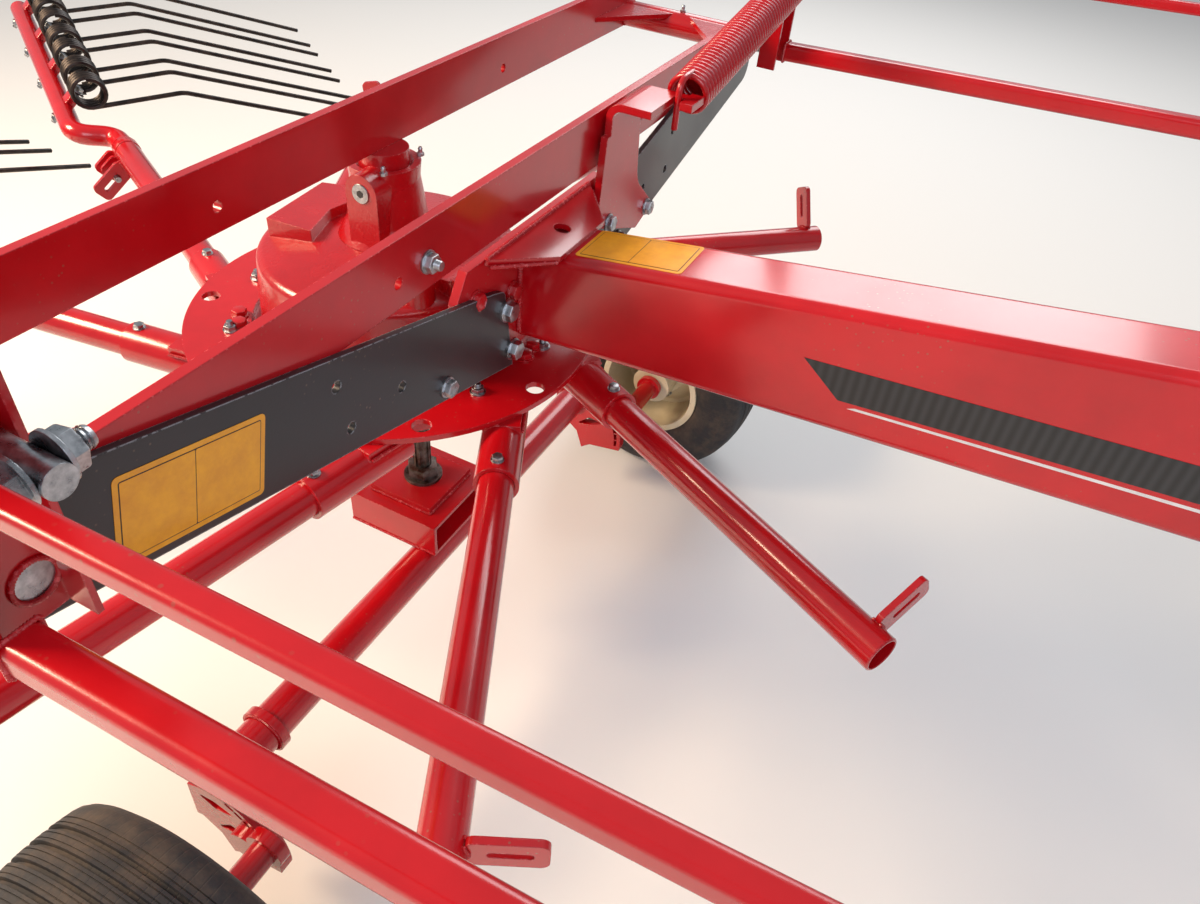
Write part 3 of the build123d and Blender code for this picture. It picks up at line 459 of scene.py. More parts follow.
def hexagon(bm, place, across, height):
    """Hex head or nut, with its outer corners turned off."""
    shape = bmesh.new()
    disc(shape, moved(), across / sqrt(3), height, 6)
    edges = [edge for edge in shape.edges if min(vert.co.z for vert in edge.verts) > height / 2]
    bmesh.ops.bevel(shape, geom=edges, offset=height * 0.18, offset_type="OFFSET", segments=2, profile=0.5,
                    affect="EDGES", material=-1, clamp_overlap=True)
    stamp(bm, as_mesh(shape), place)


HEX_ACROSS = 1.6          # a bolt's usual proportions, as shares of its thread
WASHER_THICK = 0.18
HEAD_HEIGHT = 0.7
THREAD_PITCH = 0.2
THREAD_TURNS = 3


def bolt_mesh(thread, nut):
    """Hex head on a washer, or a nut with the thread's end, standing on Z = 0. Thread in millimetres."""
    shape = bmesh.new()
    size = thread * MM
    across = HEX_ACROSS * size
    washer = WASHER_THICK * size
    disc(shape, moved(), 0.68 * across, washer)
    hexagon(shape, moved(z=washer), across, HEAD_HEIGHT * size)
    for turn in range(THREAD_TURNS if nut else 0):
        start = washer + (HEAD_HEIGHT + turn * THREAD_PITCH) * size
        disc(shape, moved(z=start), 0.5 * size, THREAD_PITCH * size, 14, 0.42 * size)
    return as_mesh(shape)


BOLT_MESHES = {}


def bolt(bm, point, direction, thread, nut=False):
    """Stamp a bolt head or nut on a face."""
    if (thread, nut) not in BOLT_MESHES:
        BOLT_MESHES[thread, nut] = bolt_mesh(thread, nut)
    stamp(bm, BOLT_MESHES[thread, nut], stood(point, direction, thread))


def scale_mesh():
    """One scale of a weld bead, 1 m across."""
    shape = bmesh.new()
    bmesh.ops.create_uvsphere(shape, u_segments=8, v_segments=4, radius=0.5)
    return as_mesh(shape)


SCALE_MESH = scale_mesh()
SCALE_STEP = 0.5
SCALE_LENGTH = 0.75


def weld(bm, points, width=6.0):
    """Row of overlapping scales along a path, as a hand-held torch leaves them. Width in millimetres."""
    bead = bmesh.new()
    across = width * MM
    size = Matrix.Diagonal((across, across, SCALE_LENGTH * across, 1.0))
    for start, end in zip(points, points[1:]):
        run = Vector(end) - Vector(start)
        count = max(1, round(run.length / (SCALE_STEP * across)))
        for step in range(count):
            stamp(bead, SCALE_MESH, stood(Vector(start) + run * (step + 0.5) / count, run) @ size)
    stamp(bm, as_mesh(bead), moved())


def ring_of(place, radius, count=24):
    """Points on a circle about the placement's Z, closed."""
    return [place @ Vector((radius * cos(2 * pi * i / count), radius * sin(2 * pi * i / count), 0))
            for i in range(count + 1)]


# %% [markdown]
# A bent bar or wire is a circle carried along a path. The path has a few corner points, and each corner
# is rounded by a short curve between two tangent points. Extruding the ring edge by edge and turning it
# by the change in direction keeps the surface free of twists.

# %% Bent rods and wound wire
CORNER_STEPS = 6
LONGEST_REACH = 0.48


def rounded_path(points, bend):
    """Path through the runs, with each corner replaced by a curve that touches both runs."""
    points = [Vector(point) for point in points]
    path = [points[0]]
    for before, corner, after in zip(points, points[1:], points[2:]):
        back = (before - corner).normalized()
        on = (after - corner).normalized()
        turn = pi - back.angle(on)
        shorter = min((before - corner).length, (after - corner).length)
        reach = min(bend * tan(turn / 2), LONGEST_REACH * shorter)
        for step in range(CORNER_STEPS + 1):
            t = step / CORNER_STEPS
            path.append(corner + back * reach * (1 - t) ** 2 + on * reach * t ** 2)
    return path + [points[-1]]


def ring_edges(bm, place, radius, segments, filled=False):
    """Circle about the placement's Z as its points and its edges."""
    ring = bmesh.ops.create_circle(bm, cap_ends=filled, segments=segments, radius=radius, matrix=place)
    return ring["verts"], list({edge for vert in ring["verts"] for edge in vert.link_edges})


def rod(bm, points, radius, bend=0.0, ring=12):
    """Round bar along straight runs joined by curves, closed at both ends."""
    path = rounded_path(points, bend)
    heading = (path[1] - path[0]).normalized()
    place = stood(path[0], heading)
    _, edges = ring_edges(bm, place, radius, ring, filled=True)
    for index in range(1, len(path)):
        before = (path[index] - path[index - 1]).normalized()
        after = (path[min(index + 1, len(path) - 1)] - path[index]).normalized()
        next_heading = (before + after).normalized()
        swing = heading.rotation_difference(next_heading).to_matrix().to_4x4()
        next_place = Matrix.Translation(path[index]) @ swing @ Matrix.Translation(-place.translation) @ place
        grown = bmesh.ops.extrude_edge_only(bm, edges=edges)["geom"]
        verts = {item for item in grown if isinstance(item, bmesh.types.BMVert)}
        bmesh.ops.transform(bm, matrix=next_place @ place.inverted(), verts=list(verts))
        edges = [item for item in grown if isinstance(item, bmesh.types.BMEdge)
                 and item.verts[0] in verts and item.verts[1] in verts]
        place = next_place
        heading = next_heading
    bmesh.ops.contextual_create(bm, geom=edges)


def coil_mesh(radius, wire, pitch, turns, steps=22, ring=8):
    """Wire wound about Z from Z = 0, as a mesh that can be stamped many times."""
    bm = bmesh.new()
    start = moved(x=radius) @ Matrix.Rotation(pi / 2, 4, "X")
    verts, edges = ring_edges(bm, start, wire / 2, ring)
    bmesh.ops.spin(bm, geom=verts + edges, cent=(0, 0, 0), axis=UP, dvec=(0, 0, pitch / steps),
                   angle=2 * pi * turns, steps=round(steps * turns), use_duplicate=False)
    bmesh.ops.holes_fill(bm, edges=bm.edges, sides=ring)
    bmesh.ops.recalc_face_normals(bm, faces=bm.faces)
    return as_mesh(bm)


def turned(shape, geom, axis, steps):
    """Mesh of an outline turned all the way round an axis through the origin."""
    bmesh.ops.spin(shape, geom=geom, cent=(0, 0, 0), axis=axis, angle=2 * pi, steps=steps, use_merge=True,
                   use_duplicate=False)
    bmesh.ops.remove_doubles(shape, verts=shape.verts, dist=1e-6)
    bmesh.ops.recalc_face_normals(shape, faces=shape.faces)
    return as_mesh(shape)


# %% [markdown]
# A flat plate starts as one face. Bevelling its corner points rounds them, a hole is a second outline
# that is filled together with the first, and one extrusion gives the thickness.

# %% Flat plates
def outline(bm, corners, bend):
    """Face with rounded corners."""
    verts = [bm.verts.new((x, y, 0)) for x, y in corners]
    bmesh.ops.contextual_create(bm, geom=verts)
    if bend:
        bmesh.ops.bevel(bm, geom=verts, offset=bend, offset_type="OFFSET", segments=4, profile=0.5,
                        affect="VERTICES", material=-1, clamp_overlap=True)


def box_corners(low, high):
    """Corners of an upright rectangle."""
    return [low, (high[0], low[1]), high, (low[0], high[1])]


def plate(bm, place, corners, thickness, bend=0.0, hole=None, hole_bend=0.0):
    """Plate standing on the placement's XY face, towards its Z."""
    sheet = bmesh.new()
    outline(sheet, corners, bend)
    if hole:
        outline(sheet, hole, hole_bend)
        bmesh.ops.delete(sheet, geom=sheet.faces[:], context="FACES_ONLY")
        bmesh.ops.triangle_fill(sheet, use_beauty=True, use_dissolve=False, edges=sheet.edges[:])
    grown = bmesh.ops.extrude_face_region(sheet, geom=sheet.faces[:])["geom"]
    top = [item for item in grown if isinstance(item, bmesh.types.BMVert)]
    bmesh.ops.translate(sheet, verts=top, vec=(0, 0, thickness))
    bmesh.ops.recalc_face_normals(sheet, faces=sheet.faces)
    stamp(bm, as_mesh(sheet), place)


# %% [markdown]
# The ten arms are tubes with an open end, each with a slotted locking lug near it. An arm's own placement
# has X out along the tube, so every arm is drawn once in the same words and only its lug leans by its
# own angle, because the arms roll in their sleeves as the rotor turns.

# %% Rotor arms
ARM_COUNT = 10
ARM_FIRST = -27.7                    # degrees from forward to the first arm
ARM_OFFSET = 0.183
ARM_HEIGHT = 0.688
ARM_RADIUS = 0.0235
ARM_START = 0.172
ARM_REACH = 0.815
ARM_RIM = 0.0015
SOCKET_RADIUS = 0.0203
SOCKET_DEPTH = 0.121
LUG_X = 0.785
LUG_THICK = 0.008
LUG_REACH = 0.096
LUG_HALF = 0.019
LUG_SUNK = 0.003
LUG_CORNER = 0.009
SLOT_LOW = 0.056                     # the slot's two ends, measured back from the lug's tip
SLOT_HIGH = 0.014
SLOT_HALF = 0.0045
SLOT_CORNER = 0.0044
LUG_LEANS = (27, 45, 62, 72, 82, -40, -40, 45, 15, 0)
LUG_WELD = ((0.0205, -0.014), (0.0245, 0), (0.0205, 0.014))
PLUGGED_ARMS = {"left": 5, "rear": 6}


def arm(index):
    """Placement of an arm: X out along it, Y across it, Z up."""
    turn = Matrix.Rotation(radians(ARM_FIRST + index * 360 / ARM_COUNT), 4, "Z")
    return Matrix.Translation(ROTOR_FOOT) @ turn @ moved(y=ARM_OFFSET, z=ARM_HEIGHT)


def turned_along_x(bm, place, profile, steps=28):
    """Solid of revolution about X, from an outline of distance and radius that starts and ends on X."""
    shape = bmesh.new()
    verts = [shape.verts.new((x, 0, radius)) for x, radius in profile]
    edges = [shape.edges.new(pair) for pair in zip(verts, verts[1:])]
    stamp(bm, turned(shape, verts + edges, (1, 0, 0), steps), place)


def lug(bm, place, x_low, reach, slotted=True):
    """Rounded lug that stands out towards the placement's Y, with a slot for the locking pin."""
    flat = place @ moved(x=x_low) @ Matrix(((0, 0, 1, 0), (1, 0, 0, 0), (0, 1, 0, 0), (0, 0, 0, 1)))
    slot = box_corners((reach - SLOT_LOW, -SLOT_HALF), (reach - SLOT_HIGH, SLOT_HALF)) if slotted else None
    plate(bm, flat, box_corners((ARM_RADIUS - LUG_SUNK, -LUG_HALF), (reach, LUG_HALF)), LUG_THICK, LUG_CORNER,
          slot, SLOT_CORNER)


bm = bmesh.new()
welds = bmesh.new()
for index, lean in enumerate(LUG_LEANS):
    turned_along_x(bm, arm(index), [
        (ARM_START, 0), (ARM_START, ARM_RADIUS), (ARM_REACH - ARM_RIM, ARM_RADIUS),
        (ARM_REACH, ARM_RADIUS - ARM_RIM), (ARM_REACH, SOCKET_RADIUS),
        (ARM_REACH - SOCKET_DEPTH, SOCKET_RADIUS), (ARM_REACH - SOCKET_DEPTH, 0)])
    leaning = arm(index) @ rolled(lean)
    lug(bm, leaning, LUG_X, LUG_REACH)
    for side_x in (LUG_X - 0.001, LUG_X + LUG_THICK + 0.001):
        weld(welds, [leaning @ Vector((side_x, y, z)) for y, z in LUG_WELD], 5.0)
piece("arm_tubes", bm, "red_enamel", "rotor", ["rotor_arms"])
piece("arm_lug_welds", welds, "red_enamel", "rotor")

# %% [markdown]
# Two tine arms are still plugged in. Each is a plug with a stop ring, a cranked bar, and four double tines:
# one wire makes two fingers, winds four close turns for each, and passes under a bolted block between
# them. The double tine is built once and stamped along the bar.

# %% Tine arms
BAR_RADIUS = 0.020
CRANK_START = 0.905
CRANK_BEND = 0.034
CRANK_OFFSET = (0.008, 0.074, 0.014)
BAR_TURN = -3.0
BAR_RISE = 5.7
STOP_START = ARM_REACH + 0.0005
STOP_END = ARM_REACH + 0.027
STOP_RADIUS = 0.025
STOP_LUGS = ((ARM_REACH + 0.001, 0.062), (ARM_REACH + 0.028, 0.070))
LOCK_PIN = (0.048, 0.0055)           # its distance from the arm's axis, and its radius
TINE_FIRST = 0.111
TINE_PITCH = 0.162
TINE_PAIRS = 4
TINE_GAP = 0.102
BAR_RUN = TINE_FIRST + (TINE_PAIRS - 1) * TINE_PITCH + 0.036
TINE_WIRE = 0.0095
COIL_RADIUS = 0.0345
COIL_TURNS = 4
COIL_OUT = 0.051
COIL_UP = 0.050
KNEE = (-0.228, 0.030)
TIP = (-0.651, -0.110)
TINE_BEND = 0.060
WOUND_RADIUS = COIL_RADIUS - TINE_WIRE / 2
BLOCK_HALF = (0.015, 0.009)
BLOCK_START = 0.012
BLOCK_CORNER = 0.002
CAP_HALF = (0.015, 0.011)
CAP_THICK = 0.003


def bar_place(index, reach):
    """Placement on a tine bar, with X along the bar and the fingers towards -Y."""
    crank = moved(CRANK_START + CRANK_OFFSET[0], CRANK_OFFSET[1], CRANK_OFFSET[2])
    turn = Matrix.Rotation(radians(BAR_TURN), 4, "Z") @ Matrix.Rotation(radians(-BAR_RISE), 4, "Y")
    return arm(index) @ crank @ turn @ moved(x=reach)


def double_tine():
    """Wire of one double tine about the bar's place under its block."""
    shape = bmesh.new()
    half = TINE_GAP / 2
    inside = half + TINE_WIRE / 2 - COIL_TURNS * TINE_WIRE
    winding = coil_mesh(WOUND_RADIUS, TINE_WIRE, TINE_WIRE * 1.02, COIL_TURNS)
    for side in (-1, 1):
        along = Matrix.Rotation(side * pi / 2, 4, "Y")
        stamp(shape, winding, moved(side * inside, -COIL_OUT, COIL_UP) @ along)
        finger = [(side * half, y, z) for y, z in ((-COIL_OUT, COIL_UP - WOUND_RADIUS), KNEE, TIP)]
        rod(shape, finger, TINE_WIRE / 2, TINE_BEND, 10)
    share = 1 - WOUND_RADIUS / sqrt(COIL_OUT ** 2 + COIL_UP ** 2)
    bridge = (-COIL_OUT * share, COIL_UP * share)
    rod(shape, [(-inside - 0.002, *bridge), (inside + 0.002, *bridge)], TINE_WIRE / 2, 0, 10)
    return as_mesh(shape)


TINE_MESH = double_tine()
SEAT = sqrt(COIL_OUT ** 2 + COIL_UP ** 2) - COIL_RADIUS
for label, index in PLUGGED_ARMS.items():
    wires = bmesh.new()
    bar = bmesh.new()
    nuts = bmesh.new()
    place = arm(index)
    ends = [bar_place(index, reach).translation for reach in (0, BAR_RUN)]
    rod(bar, [place @ Vector((ARM_REACH - 0.1, 0, 0)), place @ Vector((CRANK_START, 0, 0)), *ends],
        BAR_RADIUS, CRANK_BEND, 24)
    turned_along_x(bar, place, [
        (STOP_START, 0), (STOP_START, STOP_RADIUS - ARM_RIM), (STOP_START + ARM_RIM, STOP_RADIUS),
        (STOP_END - 0.002, STOP_RADIUS), (STOP_END, STOP_RADIUS - ARM_RIM), (STOP_END, 0)])
    leaning = place @ rolled(LUG_LEANS[index])
    for start, reach in STOP_LUGS:
        lug(bar, leaning, start, reach, slotted=False)
    pin_y, pin_radius = LOCK_PIN
    rod(nuts, [leaning @ Vector((LUG_X - 0.012, pin_y, 0)), leaning @ Vector((ARM_REACH + 0.050, pin_y, 0))],
        pin_radius, 0, 14)
    for pair in range(TINE_PAIRS):
        spot = bar_place(index, TINE_FIRST + pair * TINE_PITCH)
        stamp(wires, TINE_MESH, spot)
        through = spot @ Matrix.Rotation(atan2(COIL_OUT, COIL_UP), 4, "X")
        outward = through.to_3x3() @ Vector((0, 0, 1))
        x_half, y_half = BLOCK_HALF
        plate(bar, through @ moved(z=BLOCK_START), box_corners((-x_half, -y_half), (x_half, y_half)),
              SEAT - BLOCK_START - 0.0005, BLOCK_CORNER)
        cap = through @ moved(z=SEAT + TINE_WIRE)
        x_half, y_half = CAP_HALF
        plate(nuts, cap, box_corners((-x_half, -y_half), (x_half, y_half)), CAP_THICK, BLOCK_CORNER)
        bolt(nuts, cap @ Vector((0, 0, CAP_THICK)), outward, 10)
        bolt(nuts, through @ Vector((0, 0, -BAR_RADIUS)), -outward, 10, nut=True)
    piece(f"tine_wires_{label}", wires, "spring_steel", "rotor", [f"tines_{label}"])
    piece(f"tine_arm_{label}", bar, "red_enamel", "rotor", [f"tine_bar_{label}"])
    piece(f"tine_bolts_{label}", nuts, "zinc_plate", "rotor")

# %% [markdown]
# The spring that helps lift the left guard is close-wound wire. It runs from a hook round the anchor's
# neck to a loop round the guard's peg. A screw-like spin of a small circle winds it in one step. The
# anchor belongs to the frame and the peg to the guard, so the spring rides on neither body.

# %% Lift spring
SPRING_NEAR = at(320, 243, 1050)
SPRING_PEG = at(320, 724, 1124)
SPRING_WIRE = 0.009
SPRING_RADIUS = 0.030
SPRING_START = 0.009
LOOP_RADIUS = 0.024
PEG_RADIUS = 0.011
PEG_GAP = 0.0003
HOOK_REACH = 0.020
HOOK_DROP = 0.036
HOOK_BEND = 0.020
NECK = 0.0243
PLUG = 0.006
CORE_START = 0.05

bm = bmesh.new()
run = SPRING_PEG - SPRING_NEAR
loop_at = run.length - (LOOP_RADIUS - SPRING_WIRE / 2 - PEG_RADIUS - PEG_GAP)
length = loop_at - LOOP_RADIUS - SPRING_START
turns = round(length / (SPRING_WIRE * 1.03))
along_spring = stood(SPRING_NEAR, run)
wound_radius = SPRING_RADIUS - SPRING_WIRE / 2
winding = coil_mesh(wound_radius, SPRING_WIRE, length / turns, turns, 24, 10)
stamp(bm, winding, along_spring @ moved(z=SPRING_START))
wall = SPRING_NEAR + run.normalized() * HOOK_REACH + Vector((0, 0, wound_radius))
neck_y = SPRING_NEAR.y - NECK
hook = [wall, (wall.x, neck_y, wall.z), (wall.x, neck_y, SPRING_NEAR.z - HOOK_DROP)]
rod(bm, hook, SPRING_WIRE / 2, HOOK_BEND, 10)
loop = bmesh.new()
ring, ring_sides = ring_edges(loop, moved(x=LOOP_RADIUS) @ rolled(90), SPRING_WIRE / 2, 10)
loop_mesh = turned(loop, ring + ring_sides, UP, 32)
loop_centre = (along_spring @ moved(z=loop_at)).translation
stamp(bm, loop_mesh, Matrix.Translation(loop_centre) @ Matrix.Rotation(pi / 2, 4, "Y"))
# A plug closes the far end, and a core keeps light from showing between the turns
plug_start = length - PLUG
disc(bm, along_spring @ moved(z=SPRING_START + plug_start), SPRING_RADIUS - 0.002, PLUG, 28)
disc(bm, along_spring @ moved(z=SPRING_START + CORE_START), SPRING_RADIUS - 0.007, plug_start - CORE_START, 20)
spring = piece("lift_spring", bm, "red_enamel", None, ["guard_spring"])
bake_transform(spring)

# %% [markdown]
# The tyre is one outline turned about the axle. Its tread outline is worked out from a table of grooves:
# five wide ones that carry water away, and a pair of fine lines in each rib between them.

# %% Tyres
WHEEL_X = 170
WHEEL_Y = 763
WHEEL_Z = 228
TREAD_HALF = 0.069
TREAD_RADIUS = 0.228
TREAD_CROWN = 0.007
WIDE_GROOVE = (0.0035, 0.0065)       # half its width, and its depth
FINE_GROOVE = (0.0008, 0.0018)
WIDE_AT = (-48, -24, 0, 24, 48)      # millimetres from the middle of the tread
FINE_AT = (-64, -56, -40, -32, -16, -8, 8, 16, 32, 40, 56, 64)
GROOVE_FLOOR = 0.7
SIDE_OUTLINE = (                     # radius and half width, from the bead to the shoulder
    (0.110, 0.082), (0.118, 0.0826), (0.1215, 0.0875), (0.128, 0.0915), (0.131, 0.0935), (0.134, 0.0945),
    (0.146, 0.1005), (0.158, 0.1032), (0.160, 0.1040), (0.163, 0.1037), (0.176, 0.1035), (0.186, 0.1020),
    (0.188, 0.1026), (0.192, 0.1012), (0.2035, 0.0970), (0.2100, 0.0930), (0.2147, 0.0872),
    (0.2160, 0.0860), (0.2195, 0.0770), (0.2207, 0.0705))
WHEEL_NUTS = 5
NUT_CIRCLE = 0.062
NUT_LIFT = {"right": 0.004, "left": 0.0}
NUT_BEHIND = 0.002
VALVE_RADIUS = 0.0035
AXLE_NUT_Y = 838.3


def tread_outline():
    """Tread from one shoulder to the other as distance from the middle and radius."""
    grooves = sorted([(x * MM, *WIDE_GROOVE) for x in WIDE_AT] + [(x * MM, *FINE_GROOVE) for x in FINE_AT])
    points = [(-TREAD_HALF, TREAD_RADIUS - TREAD_CROWN)]
    for middle, half, depth in grooves:
        crown = TREAD_RADIUS - TREAD_CROWN * (middle / TREAD_HALF) ** 2
        floor_half = half * GROOVE_FLOOR
        points += [(middle - half, crown), (middle - floor_half, crown - depth),
                   (middle + floor_half, crown - depth), (middle + half, crown)]
    return points + [(TREAD_HALF, TREAD_RADIUS - TREAD_CROWN)]


def tyre_mesh():
    """Tyre about Y, closed on its inside."""
    shape = bmesh.new()
    right = [(-width, radius) for radius, width in SIDE_OUTLINE]
    left = [(width, radius) for radius, width in reversed(SIDE_OUTLINE)]
    verts = [shape.verts.new((0, y, radius)) for y, radius in right + tread_outline() + left]
    edges = [shape.edges.new(pair) for pair in zip(verts, verts[1:] + verts[:1])]
    return turned(shape, verts + edges, (0, 1, 0), 96)


TYRE_MESH = tyre_mesh()
for label, side in SIDES.items():
    centre = Matrix.Translation(at(WHEEL_X, side * WHEEL_Y, WHEEL_Z))
    outward = Vector((0, side, 0))
    bm = bmesh.new()
    stamp(bm, TYRE_MESH, centre)
    piece(f"ribbed_tyre_{label}", bm, "tyre_rubber", f"wheel_{label}", [f"tyre_{label}"])
    bm = bmesh.new()
    for spot in ring_of(centre @ rolled(90), NUT_CIRCLE, WHEEL_NUTS)[:-1]:
        bolt(bm, spot + outward * NUT_LIFT[label], outward, 10)
        bolt(bm, spot - outward * NUT_BEHIND, -outward, 10, nut=True)
    valve = [centre @ Vector((0.095, side * -0.016, 0)), centre @ Vector((0.088, side * 0.020, 0))]
    rod(bm, valve, VALVE_RADIUS, 0, 10)
    piece(f"wheel_nuts_{label}", bm, "zinc_plate", f"wheel_{label}")
    bm = bmesh.new()
    bolt(bm, at(WHEEL_X, side * AXLE_NUT_Y, WHEEL_Z), outward, 20)
    piece(f"axle_nut_{label}", bm, "zinc_plate", "frame")

# %% [markdown]
# Bolts and nuts come from one table: the body they ride on, whether they are zinc plated or painted with
# the frame, their place, the way they face, the thread, and whether a nut with a thread end shows.

# %% Bolts
DISC_TOP = 726
DISC_BOTTOM = 718
ZINC_AT = (-169.6, 233)              # angle and radius on the disc
RED_PAIR = ((-142.9, 222), (-135.7, 221))
SLEEVE_BOLT = Vector((0.308, 0, 0.0290))
PEG_SIDE = 11


def on_disc(angle, radius, height=DISC_TOP):
    """Place on the rotor disc, in millimetres."""
    return (radius * cos(radians(angle)), radius * sin(radians(angle)), height)


ZINC_ANGLES = [ZINC_AT[0] + turn * 360 / ARM_COUNT for turn in range(ARM_COUNT)]
BOLTS = [("rotor", "zinc_plate", on_disc(angle, ZINC_AT[1]), UP, 10, True) for angle in ZINC_ANGLES]
BOLTS += [("rotor", "red_enamel", on_disc(angle + turn * 72, radius), UP, 12, False)
          for turn in range(5) for angle, radius in RED_PAIR]
for label, side in SIDES.items():
    BOLTS += [
        ("frame", "zinc_plate", (241, side * 238, 996), FORWARD, 12, True),
        ("frame", "zinc_plate", (229, side * 238, 996), BACK, 12, False),
        ("frame", "zinc_plate", (249, side * 92, 864), FORWARD, 14, False),
        ("frame", "zinc_plate", (249, side * 78, 799), FORWARD, 14, False),
        ("frame", "zinc_plate", (249, side * 224, 828), FORWARD, 12, False),
        ("frame", "red_enamel", (241, side * 68, 878), FORWARD, 12, False),
        ("frame", "red_enamel", (241, side * 150, 905), FORWARD, 12, False),
        ("frame", "zinc_plate", (-6, side * 60, 1018), BACK, 12, False),
        (f"guard_{label}", "zinc_plate", (338, side * (724 - PEG_SIDE), 1124), (0, -side, 0), 16, True),
        (f"guard_{label}", "zinc_plate", (338, side * (724 + PEG_SIDE), 1124), (0, side, 0), 16, False),
        (f"guard_{label}", "zinc_plate", (-30, side * 725, 1000), BACK, 20, False)]
BOLTS += [
    ("frame", "zinc_plate", (259, 165, 881), FORWARD, 12, False),
    ("frame", "zinc_plate", (259, 300, 853), FORWARD, 12, False),
    ("frame", "bare_steel", (26, 6, 404), UP, 30, False)]

made = {}
for body, finish, spot, direction, thread, nut in BOLTS:
    if (body, finish) not in made:
        made[body, finish] = bmesh.new()
    bolt(made[body, finish], at(*spot), direction, thread, nut)
for index in range(ARM_COUNT):
    bolt(made["rotor", "zinc_plate"], arm(index) @ SLEEVE_BOLT, UP, 8)
for (body, finish), bm in made.items():
    piece(f"bolts_{body}_{finish}", bm, finish, body)

# %% [markdown]
# Weld beads join the plates. Each bead is a path over the joint with overlapping scales, a few
# millimetres wide, in the same enamel as what it joins. Beads that come on both sides stand in one table
# with the places of the right half, as width and path.

# %% Weld beads
BEAM_END = ((-51, 925), (-52, 812), (-39, 800), (39, 800), (52, 812), (51, 925))
GUSSET_WELD = ((242.5, -128, 949), (242.5, 128, 949))
CARRIAGE_WELD = ((86, -60), (86, 60), (-34, 60), (-34, -60), (86, -60))
SIDE_WELDS = (
    (6, ((247, 128, 940), (300, 60, 933))),
    (6, ((8, 706, 1016), (8, 703, 1000), (8, 712, 982))),
    (6, ((227, 706, 1016), (227, 703, 1000), (227, 712, 982))),
    (6, ((112, 85, 331), (-60, 85, 331))))
AXLE_RINGS = ((452, 0.031), (466, 0.032), (539, 0.031))
RAIL_ENDS = ((759, 987, 15), (764, 1146, 8))
HINGE_RINGS = ((724, 1124, 0.0125), (725, 1000, 0.0165))
SLEEVE_WELD = ((0.174, 0.0262, 0.020), (0.240, 0.0262, 0.020))
POST_X = 309
LOOP_X = 1331
LOOP_RISE = 39

bm = bmesh.new()
weld(bm, [at(243, y, z) for y, z in BEAM_END], 8)
weld(bm, [at(*spot) for spot in GUSSET_WELD], 7)
for side in (RIGHT, LEFT):
    for width, path in SIDE_WELDS:
        weld(bm, [at(x, side * y, z) for x, y, z in path], width)
    for y, radius in AXLE_RINGS:
        weld(bm, ring_of(stood(at(83, side * y, 300), (0, side, 0)), radius), 5)
weld(bm, [at(x, y, 393) for x, y in CARRIAGE_WELD], 6)
piece("frame_welds", bm, "red_enamel", "frame")
bm = bmesh.new()
for index in range(ARM_COUNT):
    for side in (RIGHT, LEFT):
        weld(bm, [arm(index) @ Vector((x, side * y, z)) for x, y, z in SLEEVE_WELD], 6)
piece("sleeve_welds", bm, "red_enamel", "rotor")
for label, side in SIDES.items():
    bm = bmesh.new()
    for y, z, half in RAIL_ENDS:
        corners = box_corners((-half, -half), (half, half))
        for x, rise in ((POST_X, 0), (LOOP_X, LOOP_RISE)):
            weld(bm, [at(x, side * y + dy, z + dz + rise) for dy, dz in corners + corners[:1]], 5)
    for y, z, radius in HINGE_RINGS:
        weld(bm, ring_of(stood(at(281, side * y, z), FORWARD), radius), 5)
    piece(f"guard_welds_{label}", bm, "red_enamel", f"guard_{label}")

# %% [markdown]
# Stickers are thin vinyl with rounded corners. A dark print shows as a fine line round the edge and
# between the two fields, so each sticker is a yellow sheet, a dark one a little smaller, and two yellow
# fields on top. The beam's stripe is a black print with a white pinstripe below it.

# %% Stickers
FILM = 0.0004
FILM_GAP = 0.0001
BORDER = 0.0050
LINE = 0.0009
STRUT_SLOPE = 0.247
BEAM_TOP_SLOPE = 0.1388
BEAM_HALF = 51
STRIPES = {                          # corners on the beam's side as X and Z, and the print
    "stripe": (((613, 911), (662, 871), (1240, 909), (1290, 955)), "stripe_vinyl"),
    "pinstripe": (((675, 864), (1244, 897.5), (1246, 902.0), (683, 867.5)), "white_vinyl")}


def face_frame(origin, x_way, y_way):
    """Placement whose X and Y lie along two directions of a face."""
    x_axis = Vector(x_way).normalized()
    z_axis = x_axis.cross(Vector(y_way)).normalized()
    turn = Matrix((x_axis, z_axis.cross(x_axis), z_axis)).transposed().to_4x4()
    return Matrix.Translation(origin) @ turn


def sticker(name, place, width, height):
    """Blank two-field sticker standing on the placement's XY face, centred on it."""
    x, y = width / 2, height / 2
    inner = BORDER + LINE
    yellow, dark = bmesh.new(), bmesh.new()
    for bm, low, high, lift, bend in (
            (yellow, (-x, -y), (x, y), 0, 0.005),
            (dark, (BORDER - x, BORDER - y), (x - BORDER, y - BORDER), FILM / 2, 0.002),
            (yellow, (inner - x, inner - y), (-LINE / 2, y - inner), FILM, 0.0012),
            (yellow, (LINE / 2, inner - y), (x - inner, y - inner), FILM, 0.0012)):
        plate(bm, place @ moved(z=FILM_GAP + lift), box_corners(low, high), FILM, bend)
    piece(f"{name}_sheet", yellow, "yellow_vinyl", "frame")
    piece(f"{name}_lines", dark, "black_print", "frame")


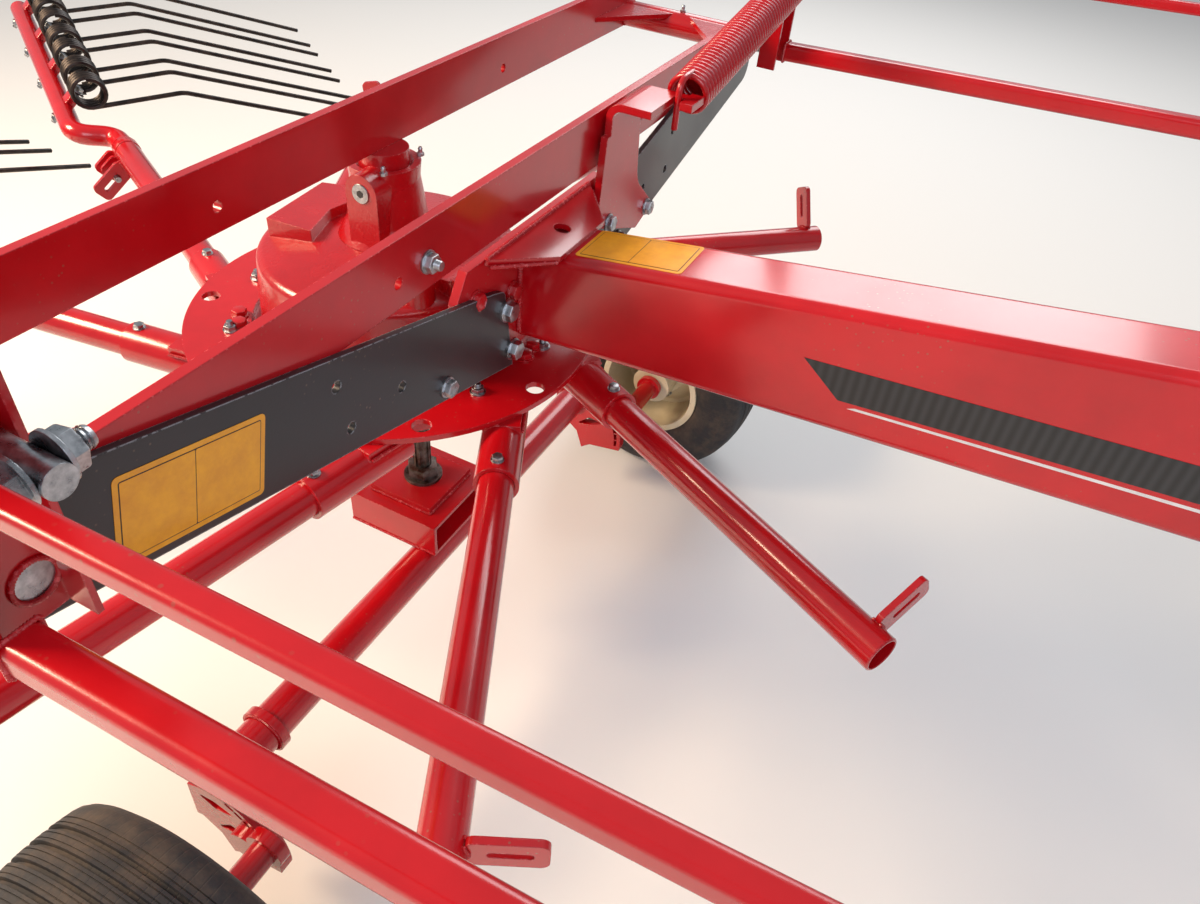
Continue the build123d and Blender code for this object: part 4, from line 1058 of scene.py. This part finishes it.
sticker("strut_sticker", face_frame(at(249, -573.5, 946.5), (0, 1, -STRUT_SLOPE), (0, 0, 1)), 0.152, 0.082)
sticker("beam_sticker", face_frame(at(379, 2, 926 + 138 * BEAM_TOP_SLOPE), (1, 0, BEAM_TOP_SLOPE), (0, 1, 0)),
        0.140, 0.078)
for label, side in SIDES.items():
    face = face_frame(at(0, side * (BEAM_HALF + 0.1), 0), (-side, 0, 0), (0, 0, 1))
    for name, (corners, finish) in STRIPES.items():
        bm = bmesh.new()
        plate(bm, face, [(-side * x * MM, z * MM) for x, z in corners], FILM)
        piece(f"beam_{name}_{label}", bm, finish, "frame")

# %% [markdown]
# Small fittings finish the machine: a ribbed breather plug and a socket plug on the housing, grease
# nipples on the pivots, a spring plunger that locks the parking stand, linch pins on the hitch pins, and
# the splines of the drive shaft's end.

# %% Fittings
BREATHER = (120, -100, 872)
BREATHER_STEPS = ((0, 0.017, 0.004, 28), (0.004, 0.0125, 0.013, 28, 0.0120))
BREATHER_RIBS = 14
BREATHER_RIB = ((-0.001, -0.0012), (0.0018, 0.0012))
SOCKET = (10, -64, 940)
GREASE_POINTS = ((115, 725, 1022), (30, 40, 962))
NIPPLE_STEPS = ((0, 0.0052, 0.004, 6), (0.004, 0.0032, 0.005, 14, 0.0026), (0.009, 0.0034, 0.003, 14, 0.0020))
PLUNGER = (1900, -113, 930)
PLUNGER_STEPS = ((0, 0.014, 0.004, 24), (0.004, 0.009, 0.022, 20))
PLUNGER_RING = (0.016, 0.002)        # its radius, and its wire's
HITCH_PIN = (2115, 457, 600)
LINCH_REACH = (-26, 24)
LINCH_RING = (22, 27)                # its radius, and its middle's height over the pin's axis
SPLINES = 6
SPLINE_START = 1990
SPLINE_L = 0.100
SPLINE_HALF = 0.0036
SHAFT_RADIUS = 17.5
SHAFT_Z = 978

bm = bmesh.new()
boss = stood(at(*BREATHER), UP)
stack(bm, boss, BREATHER_STEPS)
for rib in range(BREATHER_RIBS):
    turn = boss @ Matrix.Rotation(2 * pi * rib / BREATHER_RIBS, 4, "Z") @ moved(x=0.0120, z=0.004)
    plate(bm, turn, box_corners(*BREATHER_RIB), 0.012)
socket = stood(at(*SOCKET), (0, -1, 0))
disc(bm, socket @ moved(z=0.0016), 0.0055, 0.0006, 6)
piece("breather_and_socket", bm, "black_plastic", "frame")

bm = bmesh.new()
disc(bm, socket, 0.0135, 0.0018, 28, 0.0128)
for x, y, z in GREASE_POINTS:
    for side in (RIGHT, LEFT):
        stack(bm, stood(at(x, side * y, z), UP), NIPPLE_STEPS)
knob = stood(at(*PLUNGER), (0, -1, 0))
stack(bm, knob, PLUNGER_STEPS)
rod(bm, ring_of(knob @ moved(x=0.014, z=0.022) @ rolled(90), PLUNGER_RING[0]), PLUNGER_RING[1], 0, 8)
piece("frame_fittings", bm, "zinc_plate", "frame")

bm = bmesh.new()
x, pin_y, z = HITCH_PIN
ring_radius, ring_rise = LINCH_RING
for side in (RIGHT, LEFT):
    y = side * pin_y
    rod(bm, [at(x, y, z + reach) for reach in LINCH_REACH], 0.005, 0, 14)
    disc(bm, stood(at(x, y, z + 22), UP), 0.010, 0.010, 20)
    ring = ring_of(stood(at(x, y - side * ring_radius, z + ring_rise), FORWARD), ring_radius * MM)
    rod(bm, ring, 0.0022, 0, 8)
piece("linch_pins", bm, "zinc_plate", "headstock")

bm = bmesh.new()
for spline in range(SPLINES):
    turn = Matrix.Translation(at(SPLINE_START, 0, SHAFT_Z)) @ rolled(360 * spline / SPLINES)
    flank = box_corners((0, -SPLINE_HALF), (SPLINE_L, SPLINE_HALF))
    plate(bm, turn @ moved(z=(SHAFT_RADIUS - 1) * MM), flank, 0.0028, 0.001)
piece("drive_splines", bm, "bare_steel", "drive")

bm = bmesh.new()
for angle in ZINC_ANGLES:
    bolt(bm, at(*on_disc(angle, ZINC_AT[1], DISC_BOTTOM)), DOWN, 10, True)
piece("disc_nuts", bm, "zinc_plate", "rotor")

# %% Finish
bpy.context.scene.view_settings.view_transform = "Standard"
